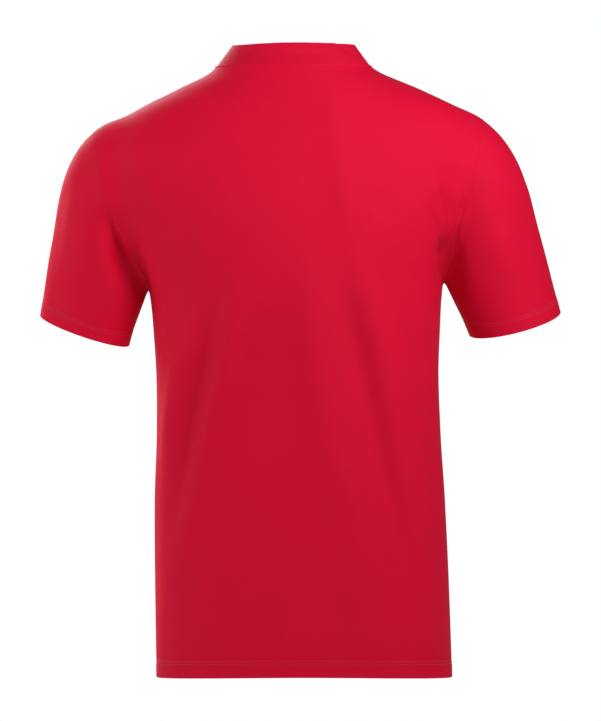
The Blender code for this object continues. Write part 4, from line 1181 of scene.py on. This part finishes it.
# the same for the pin that cuts the hole: narrow at the back, flared at the dish
BUTTON_PIN = np.array([(0, 3.5), (1.3, 3.5), (1.05, 1.62), (0.85, 1.0), (0.8, -1), (0, -1)]) * MM
BUTTON_PIN_SIDES = 16
BUTTON_LIFT = 0.3 * MM       # over the strip, on its thread
BUTTON_FIRST = 0.0186        # below the neckline
BUTTON_PITCH = 0.0450


def axes_at(point, normal):
    """Right, up and out at a point of the front, as the rows of a 3 by 3 array."""
    out = unit(normal)
    right = unit(np.cross([0.0, 0.0, 1.0], out))
    return np.stack([right, np.cross(out, right), out])


def turned_mesh(name, profile, sides):
    """Mesh of a profile of (radius, height) carried round the z axis; ends on the axis are single points."""
    angle = np.linspace(0, 2 * math.pi, sides, endpoint=False)[None, :]
    radius, height = profile[1:-1, 0][:, None], profile[1:-1, 1][:, None]
    ring = np.stack([radius * np.cos(angle), radius * np.sin(angle), height + 0 * angle], axis=-1)
    points = np.concatenate([[[0, 0, profile[0, 1]]], ring.reshape(-1, 3), [[0, 0, profile[-1, 1]]]])
    number = 1 + np.arange(ring.shape[0] * sides).reshape(-1, sides)
    after = np.roll(number, -1, axis=1)
    walls = np.stack([number[:-1], number[1:], after[1:], after[:-1]], axis=-1).reshape(-1, 4)
    first = np.stack([0 * number[0], number[0], after[0]], axis=-1)
    last = np.stack([0 * number[0] + len(points) - 1, after[-1], number[-1]], axis=-1)
    mesh = bpy.data.meshes.new(name)
    mesh.from_pydata(points.tolist(), [], walls.tolist() + first.tolist() + last.tolist())
    return mesh


def drilled(mesh, name):
    """The mesh with a hole through its middle, cut by a turned pin."""
    body, pin = (bpy.data.objects.new(name, part)
                 for part in (mesh, turned_mesh(name + "_pin", BUTTON_PIN, BUTTON_PIN_SIDES)))
    for obj in (body, pin):
        scene.collection.objects.link(obj)
    cut = body.modifiers.new("hole", "BOOLEAN")
    cut.object = pin
    cut.solver = "EXACT"
    made = bpy.data.meshes.new_from_object(body.evaluated_get(bpy.context.evaluated_depsgraph_get()))
    for obj in (body, pin):
        bpy.data.objects.remove(obj)
    return made


def make_button(number):
    """A button on the upper strip, and its frame: place and axes."""
    _, middle, normal, _ = sewn["placket_upper_strip"]
    column = middle.shape[1] // 2
    top = neck_points(np.array([math.acos(-NECK_X / NECK_HALF)]), -1)[0, 2]
    height = top - BUTTON_FIRST - BUTTON_PITCH * (number - 1)
    row = int(np.argmin(np.abs(middle[:, column, 2] - height)))
    axes = axes_at(middle[row, column], normal[row, column])
    place = np.array([0.0, *[np.interp(height, middle[:, column, 2], middle[:, column, k]) for k in (1, 2)]])
    place = place + (STRIP / 2 + BUTTON_LIFT) * axes[2]
    mesh = drilled(turned_mesh("button", BUTTON_PROFILE, BUTTON_SIDES), f"button_{number}_turned")
    points = np.empty(len(mesh.vertices) * 3)
    mesh.vertices.foreach_get("co", points)
    mesh.vertices.foreach_set("co", (points.reshape(-1, 3) @ axes + place).reshape(-1))
    mesh.update()
    mesh.shade_smooth()
    mesh.set_sharp_from_angle(angle=BUTTON_EDGE)
    piece = settle(linked(f"button_{number}_turned", mesh), f"button_{number}")
    return piece, place, axes


buttons = [make_button(number) for number in (1, 2, 3)]
print("buttons at", [place.round(4).tolist() for _, place, _ in buttons])

# %% [markdown]
# ## Stitching
# A stitch is a short, plump length of thread whose ends dive into the cloth. All
# the stitches of a seam are one mesh, worked out at once: the same small spindle
# is set at every place of the seam.

# %% Stitches along a line
STITCH_LIFT = 0.12 * MM


def stitch_mesh(name, places, along, out, half_length=1.35 * MM, radius=0.26 * MM, sink=0.30 * MM):
    """Mesh of spindles.

    At t from -1 to 1 a spindle's radius is r * sqrt(1.02 - t^4), r at most, and
    it lies sink * t^2 lower.
    """
    t = np.array([-1, -0.85, -0.4, 0.4, 0.85, 1.0])
    angle = np.linspace(0, 2 * math.pi, 6, endpoint=False)
    size = radius * np.sqrt(np.clip(1.02 - t ** 4, 0, 1))
    across = np.cross(along, out)
    ring = (places[:, None, None] + along[:, None, None] * (half_length * t)[:, None, None]
            + across[:, None, None] * (size[:, None] * np.cos(angle))[..., None]
            + out[:, None, None] * (size[:, None] * np.sin(angle) - sink * t[:, None] ** 2)[..., None])
    count, rings, sides = ring.shape[:3]
    number = np.arange(count * rings * sides).reshape(count, rings, sides)
    after = np.roll(number, -1, axis=2)
    walls = np.stack([number[:, :-1], after[:, :-1], after[:, 1:], number[:, 1:]], axis=-1).reshape(-1, 4)
    ends = np.concatenate([number[:, 0, ::-1].reshape(-1, sides), number[:, -1].reshape(-1, sides)])
    mesh = bpy.data.meshes.new(name)
    mesh.from_pydata(ring.reshape(-1, 3).tolist(), [], walls[:, ::-1].tolist() + ends[:, ::-1].tolist())
    mesh.shade_smooth()
    return mesh


def along_line(line, normal, pitch):
    """Places, ways along and normals, pitch apart on a line of points."""
    length = run_length(line)
    count = max(int(round(length[-1] / pitch)), 1)
    at = (np.arange(count) + 0.5) * length[-1] / count
    place, before, after, out = (
        np.stack([np.interp(at + shift * pitch, length, values[:, k]) for k in range(3)], axis=-1)
        for values, shift in ((line, 0), (line, -0.3), (line, 0.3), (normal, 0)))
    along = unit(after - before)
    return place, along, unit(out - np.sum(out * along, axis=1, keepdims=True) * along)


def stitch_places(lines, pitch):
    """Places, ways along and normals on several lines of (points, normals)."""
    return [np.concatenate(part) for part in zip(*(along_line(*line, pitch) for line in lines))]


def row_at(face, normal, height):
    """The line over a face at one height above its first row, measured along the cloth."""
    run = run_length(face)
    upper = np.argmax(run > height, axis=0)
    columns = np.arange(face.shape[1])
    low, high = run[upper - 1, columns], run[upper, columns]
    share = ((height - low) / (high - low))[:, None]
    return [grid[upper - 1, columns] * (1 - share) + grid[upper, columns] * share for grid in (face, normal)]


def add_thread(name, slot, *places, **shape):
    """One piece with a stitch at each place."""
    return settle(linked(name, stitch_mesh(name, *places, **shape)))


def add_stitches(name, lines, pitch=3.2 * MM, **shape):
    """One piece with the stitches of several lines, which lie a little proud of the cloth."""
    places, along, out = stitch_places(lines, pitch)
    return add_thread(name, "knit", places + STITCH_LIFT * out, along, out, **shape)


def hem_lines(cloth, closed=False):
    """The two rows of hem stitches over a piece, with its side seams left free."""
    rows = [row_at(cloth.face, cloth.normal, height) for height in HEM_STITCHES]
    return rows if closed else [(line[2:-2], out[2:-2]) for line, out in rows]


stitches = {"back_panel": [add_stitches("back_hem_stitches", hem_lines(sewn["back_panel"]))],
            "front_panel": [add_stitches("front_hem_stitches", hem_lines(sewn["front_panel"]))]}
for name in SLEEVES:
    stitches[name + "_cloth"] = [
        add_stitches(name + "_cuff_stitches", hem_lines(sewn[name + "_cloth"], closed=True))]

# %% [markdown]
# The placket's upper strip is sewn down along both edges, and with a box at its
# foot. Each buttonhole is a slit bound with a row of tight stitches on each side.

# %% Placket stitches, buttonholes and button threads
BOX_IN = 2.6 * MM            # from the strip's side edges
BOX_FOOT, BOX_TOP = 2.5 * MM, 17 * MM   # over the strip's foot
STRIP_END = 2 * MM           # the stitching ends this far below the neckline
BUTTONHOLE_HALF = 7.2 * MM
BUTTONHOLE_BESIDE = 0.75 * MM           # from the slit to the middle of the stitches
THREAD_X = np.array([-1.72, -1.28, 1.28, 1.72]) * MM
THREAD_LIFT = 1.95 * MM
_, strip_middle, strip_normal, _ = sewn["placket_upper_strip"]
strip_face = strip_middle + STRIP / 2 * strip_normal


def on_strip(x, height):
    """Points and normals of the upper strip's face at places across and up, by interpolating its grid."""
    columns = strip_face[0, :, 0]
    fraction = np.interp(-x, -columns, np.arange(len(columns)))
    c = np.clip(fraction.astype(int), 0, len(columns) - 2)
    side = (fraction - c)[:, None]
    found = []
    for grid in (strip_face, strip_normal):
        line = [np.stack([[np.interp(h, strip_face[:, k, 2], grid[:, k, axis]) for axis in range(3)]
                          for h, k in zip(height, which)]) for which in (c, c + 1)]
        found.append(line[0] * (1 - side) + line[1] * side)
    return found


box_foot, box_top = slash_foot + BOX_FOOT, slash_foot + BOX_TOP
strip_top = float(strip_face[-1, :, 2].min()) - STRIP_END
edge_x = PLACKET_HALF - BOX_IN
box_lines = [on_strip(np.full(80, x), np.linspace(box_foot, strip_top, 80)) for x in (edge_x, -edge_x)]
box_lines += [on_strip(np.linspace(edge_x, -edge_x, 20), np.full(20, z)) for z in (box_foot, box_top)]

hole_heights = np.linspace(-BUTTONHOLE_HALF, BUTTONHOLE_HALF, 25)
hole_lines = [(place - 0.2 * MM * axes[2] + x * axes[0] + hole_heights[:, None] * axes[1],
               np.tile(axes[2], (len(hole_heights), 1)))
              for _, place, axes in buttons for x in (-BUTTONHOLE_BESIDE, BUTTONHOLE_BESIDE)]
hole_places, hole_along, hole_out = stitch_places(hole_lines, 0.55 * MM)
thread_places = np.concatenate([place + THREAD_LIFT * axes[2] + THREAD_X[:, None] * axes[0]
                                for _, place, axes in buttons])
thread_axes = [np.repeat([axes[k] for _, _, axes in buttons], len(THREAD_X), axis=0) for k in (1, 2)]
stitches["placket_upper_strip"] = [
    add_stitches("placket_stitches", box_lines, pitch=2.9 * MM, half_length=1.2 * MM),
    add_thread("buttonhole_stitches", "knit", hole_places, np.cross(hole_out, hole_along), hole_out,
               half_length=0.72 * MM, radius=0.24 * MM, sink=0.09 * MM),
    add_thread("button_threads", "button", thread_places, *thread_axes,
               half_length=1.75 * MM, radius=0.24 * MM, sink=0.84 * MM)]

# %% [markdown]
# ## The cut of each sheet
# How large a piece of cloth was before it was sewn can be read off its UV map:
# the reach of its flat places across and up.


# %% [markdown]
# ## Finishes
# The shirt is one plain red polyester knit. Seen close, plain knit is columns of
# small V-shaped loops; from a few metres only a faint unevenness is left, and the
# soft bloom of light on fabric fibres. The loops are a height pattern for the
# bump, in metres on the flat cloth, so they run up each piece as they were knitted.

# %% Helpers for node trees
def new_material(name, colour, roughness, **sockets):
    """Material with a Principled shader and constant sockets."""
    material = bpy.data.materials.new(name)
    material.use_nodes = True
    shader = material.node_tree.nodes["Principled BSDF"]
    shader.inputs["Base Color"].default_value = (*colour, 1)
    shader.inputs["Roughness"].default_value = roughness
    for socket, value in sockets.items():
        shader.inputs[socket.replace("_", " ")].default_value = value
    material.diffuse_color = (*colour, 1)
    return material, material.node_tree, shader


def maths(tree, operation, *values):
    """One Math node; each value is a number or another node's output."""
    node = tree.nodes.new("ShaderNodeMath")
    node.operation = operation
    for socket, value in zip(node.inputs, values):
        if isinstance(value, bpy.types.NodeSocket):
            tree.links.new(value, socket)
        else:
            socket.default_value = value
    return node.outputs[0]


def cloth_place(tree):
    """Place on the flat cloth in metres: the whole vector, across, and up."""
    node = tree.nodes.new("ShaderNodeUVMap")
    node.uv_map = "flat_cloth"
    parts = tree.nodes.new("ShaderNodeSeparateXYZ")
    tree.links.new(node.outputs["UV"], parts.inputs[0])
    return node.outputs["UV"], parts.outputs["X"], parts.outputs["Y"]


def noise(tree, vector, scale, stretch=(1, 1, 1), detail=2.0):
    """Noise from 0 to 1 at a vector, with a Mapping node that stretches it."""
    mapping = tree.nodes.new("ShaderNodeMapping")
    mapping.inputs["Scale"].default_value = [scale * part for part in stretch]
    texture = tree.nodes.new("ShaderNodeTexNoise")
    texture.inputs["Scale"].default_value = 1.0
    texture.inputs["Detail"].default_value = detail
    tree.links.new(vector, mapping.inputs["Vector"])
    tree.links.new(mapping.outputs[0], texture.inputs["Vector"])
    return texture.outputs["Fac"]


def bump(tree, height, distance, strength, under=None):
    """Bump node of a height from 0 to 1 that stands for a distance in metres."""
    node = tree.nodes.new("ShaderNodeBump")
    node.inputs["Strength"].default_value = strength
    node.inputs["Distance"].default_value = distance
    tree.links.new(height, node.inputs["Height"])
    if under is not None:
        tree.links.new(under, node.inputs["Normal"])
    return node.outputs["Normal"]


def paint(tree, shader, colour, factor, dark=0.86, light=1.14):
    """Base colour between a darker and a lighter shade of a colour, by a factor from 0 to 1."""
    node = tree.nodes.new("ShaderNodeMix")
    node.data_type = "RGBA"
    tree.links.new(factor, node.inputs["Factor"])
    ends = [socket for socket in node.inputs if socket.type == "RGBA"]
    for socket, amount in zip(ends, (dark, light)):
        socket.default_value = (*(amount * part for part in colour), 1)
    mixed = next(socket for socket in node.outputs if socket.type == "RGBA")
    tree.links.new(mixed, shader.inputs["Base Color"])


def weighted(tree, *parts):
    """Sum of values, each times its weight."""
    total, *others = (maths(tree, "MULTIPLY", value, weight) for value, weight in parts)
    for other in others:
        total = maths(tree, "ADD", total, other)
    return total


def wave(tree, value, period):
    """A sine wave from 0 to 1 over a value."""
    sine = maths(tree, "SINE", maths(tree, "MULTIPLY", value, 2 * math.pi / period))
    return maths(tree, "ADD", maths(tree, "MULTIPLY", sine, 0.5), 0.5)


def object_place(tree):
    """Object coordinates, in metres."""
    return tree.nodes.new("ShaderNodeTexCoord").outputs["Object"]


# %% [markdown]
# In plain knit a loop's two legs lean towards each other, which makes the V. The
# pattern is a wave up the cloth that is shifted by the distance from the middle
# of its column, and it sinks to nothing in the ditch between two columns.

# %% The knit
RED = (0.640, 0.0018, 0.0310)
WALE = 0.90 * MM             # width of a column of loops
COURSE = 0.72 * MM           # height of a loop
BLOOM = dict(Sheen_Roughness=0.35, Sheen_Tint=(1.0, 0.25, 0.3, 1), Specular_IOR_Level=0.10)


def loops(tree, across, up, wale, course, lean=1.1):
    """Height of knit: (1 - (2 d)^3) * (0.6 + 0.4 sin(2 pi (up/course + lean d))).

    d is the offset from a column's middle, as a share of its width.
    """
    column = maths(tree, "DIVIDE", across, wale)
    offset = maths(tree, "ABSOLUTE", maths(tree, "SUBTRACT", maths(tree, "FRACT", column), 0.5))
    turns = maths(tree, "ADD", maths(tree, "DIVIDE", up, course), maths(tree, "MULTIPLY", offset, lean))
    sine = maths(tree, "SINE", maths(tree, "MULTIPLY", turns, 2 * math.pi))
    legs = maths(tree, "ADD", maths(tree, "MULTIPLY", sine, 0.4), 0.6)
    ditch = maths(tree, "POWER", maths(tree, "MULTIPLY", offset, 2.0), 3.0)
    return maths(tree, "MULTIPLY", legs, maths(tree, "SUBTRACT", 1.0, ditch))


def knit_material():
    """Red plain knit with fibre bloom, uneven yarn, slight changes of shade and painted shade in the hollows
    of its loops.
    """
    material, tree, shader = new_material("red_knit", RED, 0.70, Sheen_Weight=0.03, **BLOOM)
    vector, across, up = cloth_place(tree)
    height = loops(tree, across, up, WALE, COURSE)
    yarn = noise(tree, vector, 420.0, (1.0, 2.6, 1.0), 3.0)
    broad = noise(tree, object_place(tree), 16.0, detail=3.0)
    cloud = weighted(tree, (yarn, 0.55), (broad, 0.45))
    # Painted shade: 0.15 of the colour follows the loops' height, darker in the ditches between columns and
    # between loops; the rest is the yarn's uneven tone.
    paint(tree, shader, RED, weighted(tree, (cloud, 0.85), (height, 0.15)))
    normal = bump(tree, yarn, 0.20 * MM, 0.5)
    normal = bump(tree, height, 0.12 * MM, 0.6, normal)
    tree.links.new(normal, shader.inputs["Normal"])
    return material


knit = knit_material()
for name, cloth in sewn.items():
    if name != "collar_band":
        cloth.piece.data.materials.append(knit)
print("knit of", round(1 / WALE / 100, 1), "columns to the centimetre")

# %% [markdown]
# The collar is knitted on its own as a rib: pairs of columns stand out and sink
# in turn, so it stretches and stands up. Its columns run up the band.

# %% The rib
RIB_RED = (0.610, 0.0018, 0.0300)
RIB = 1.7 * MM               # from one rib to the next


def rib_material():
    """Red rib knit, with painted shade on its sunk ribs."""
    material, tree, shader = new_material("red_rib", RIB_RED, 0.70, Sheen_Weight=0.04, **BLOOM)
    vector, across, up = cloth_place(tree)
    rib = wave(tree, across, RIB)
    height = weighted(tree, (rib, 0.7), (loops(tree, across, up, RIB / 2, COURSE), 0.3))
    yarn = noise(tree, vector, 500.0, (1.0, 1.6, 1.0), 3.0)
    broad = noise(tree, object_place(tree), 22.0, detail=3.0)
    # Painted shade: a quarter of the colour follows the rib wave, darker on the sunk ribs; the rest is the
    # yarn's uneven tone.
    paint(tree, shader, RIB_RED, weighted(tree, (yarn, 0.4), (broad, 0.35), (rib, 0.25)))
    normal = bump(tree, yarn, 0.15 * MM, 0.5)
    normal = bump(tree, height, 0.25 * MM, 0.6, normal)
    tree.links.new(normal, shader.inputs["Normal"])
    return material


sewn["collar_band"].piece.data.materials.append(rib_material())
print("rib pitch", RIB / MM, "mm")

# %% [markdown]
# Sewing thread is smoother than the knit and twisted, so it shines a little more.
# The buttons are dyed resin: harder, glossier, with a faint cloud in the colour.

# %% Thread and buttons
THREAD_RED = (0.600, 0.0070, 0.0350)
BUTTON_RED = (0.400, 0.0060, 0.0220)
TWIST = 0.4 * MM             # from one strand of the thread to the next


def thread_material():
    """Twisted polyester thread: slanting stripes of relief, with painted shade in the grooves between its
    strands.
    """
    material, tree, shader = new_material("red_thread", THREAD_RED, 0.55, Sheen_Weight=0.25,
                                          Sheen_Roughness=0.4)
    parts = tree.nodes.new("ShaderNodeSeparateXYZ")
    tree.links.new(object_place(tree), parts.inputs[0])
    slant = maths(tree, "ADD", maths(tree, "ADD", parts.outputs["X"], parts.outputs["Y"]), parts.outputs["Z"])
    twist = wave(tree, slant, TWIST)
    # Painted shade: the colour follows the twist's relief, darker in the grooves between the strands.
    paint(tree, shader, THREAD_RED, twist, 0.80, 1.10)
    tree.links.new(bump(tree, twist, 0.08 * MM, 0.6), shader.inputs["Normal"])
    return material


def button_material():
    """Dyed resin: glossy, with a faint cloud and fine turning marks."""
    material, tree, shader = new_material("red_resin", BUTTON_RED, 0.25, Coat_Weight=0.3, Coat_Roughness=0.12)
    place = object_place(tree)
    cloud = noise(tree, place, 240.0, detail=3.0)
    paint(tree, shader, BUTTON_RED, cloud, 0.75, 1.30)
    marks = noise(tree, place, 1500.0)
    tree.links.new(bump(tree, marks, 0.02 * MM, 0.4), shader.inputs["Normal"])
    tree.links.new(maths(tree, "ADD", maths(tree, "MULTIPLY", cloud, 0.12), 0.20), shader.inputs["Roughness"])
    return material


thread, resin = thread_material(), button_material()
for piece in sum(stitches.values(), []):
    piece.data.materials.append(thread)
for piece, _, _ in buttons:
    piece.data.materials.clear()
    piece.data.materials.append(resin)

# %% [markdown]
# ## Floor and light
# The shirt hangs over a plain pale floor. A large soft light stands behind it on
# the wearer's right, high up, so that the right shoulder is brightest and the hem
# is darker. A weaker one grazes the left side, and another draws the rim of the
# left sleeve. The front has its own. The floor glows a little, as a lit backdrop does,
# so that it stays pale from every side.

# %% Floor
FLOOR_HEIGHT = -1.15
FLOOR_RADIUS = 6.0
FLOOR_SIDES = 96
angle = np.linspace(0, 2 * math.pi, FLOOR_SIDES, endpoint=False)
floor_mesh = bpy.data.meshes.new("floor")
floor_mesh.from_pydata(np.stack([FLOOR_RADIUS * np.cos(angle), FLOOR_RADIUS * np.sin(angle),
                                 FLOOR_HEIGHT + 0 * angle], axis=-1).tolist(), [], [list(range(FLOOR_SIDES))])
floor_mesh.materials.append(new_material(
    "pale_floor", (0.85, 0.85, 0.85), 0.9, Emission_Color=(1, 1, 1, 1), Emission_Strength=0.24)[0])
linked("floor", floor_mesh)


# %% Lights
def add_softbox(name, place, target, size, power):
    """A square area light that faces a target: its -Z is the way to it."""
    light = bpy.data.lights.new(name, "AREA")
    light.size, light.energy = size, power
    obj = bpy.data.objects.new(name, light)
    scene.collection.objects.link(obj)
    way = np.array(target) - np.array(place)
    obj.location = place
    obj.visible_camera = False
    obj.rotation_euler = (math.atan2(math.hypot(way[0], way[1]), -way[2]), 0,
                          math.atan2(way[0], -way[1]) + math.pi)


# name, place, target, size, power
add_softbox("key", (-0.62, 0.88, 0.42), (-0.04, 0.1, -0.22), 0.55, 13.8)
add_softbox("left_side", (1.25, 0.30, 0.0), (0.15, 0.03, -0.25), 0.8, 7.6)
add_softbox("rim", (1.10, -0.30, 0.35), (0.27, 0.0, -0.15), 0.6, 1.4)
add_softbox("front_fill", (0.9, -1.7, 0.6), (0.0, -0.1, -0.3), 1.0, 34)

WORLD_LIGHT = 0.12           # that the shirt gets; the camera sees plain white
world = bpy.data.worlds.new("studio")
scene.world = world
world.use_nodes = True
tree = world.node_tree
seen, lit = tree.nodes["Background"], tree.nodes.new("ShaderNodeBackground")
for node, strength in ((seen, 1.0), (lit, WORLD_LIGHT)):
    node.inputs["Color"].default_value = (1, 1, 1, 1)
    node.inputs["Strength"].default_value = strength
path = tree.nodes.new("ShaderNodeLightPath")
mixed = tree.nodes.new("ShaderNodeMixShader")
tree.links.new(path.outputs["Is Camera Ray"], mixed.inputs["Fac"])
tree.links.new(lit.outputs[0], mixed.inputs[1])
tree.links.new(seen.outputs[0], mixed.inputs[2])
tree.links.new(mixed.outputs[0], tree.nodes["World Output"].inputs["Surface"])
scene.view_settings.view_transform = "Standard"
print("world light", WORLD_LIGHT)
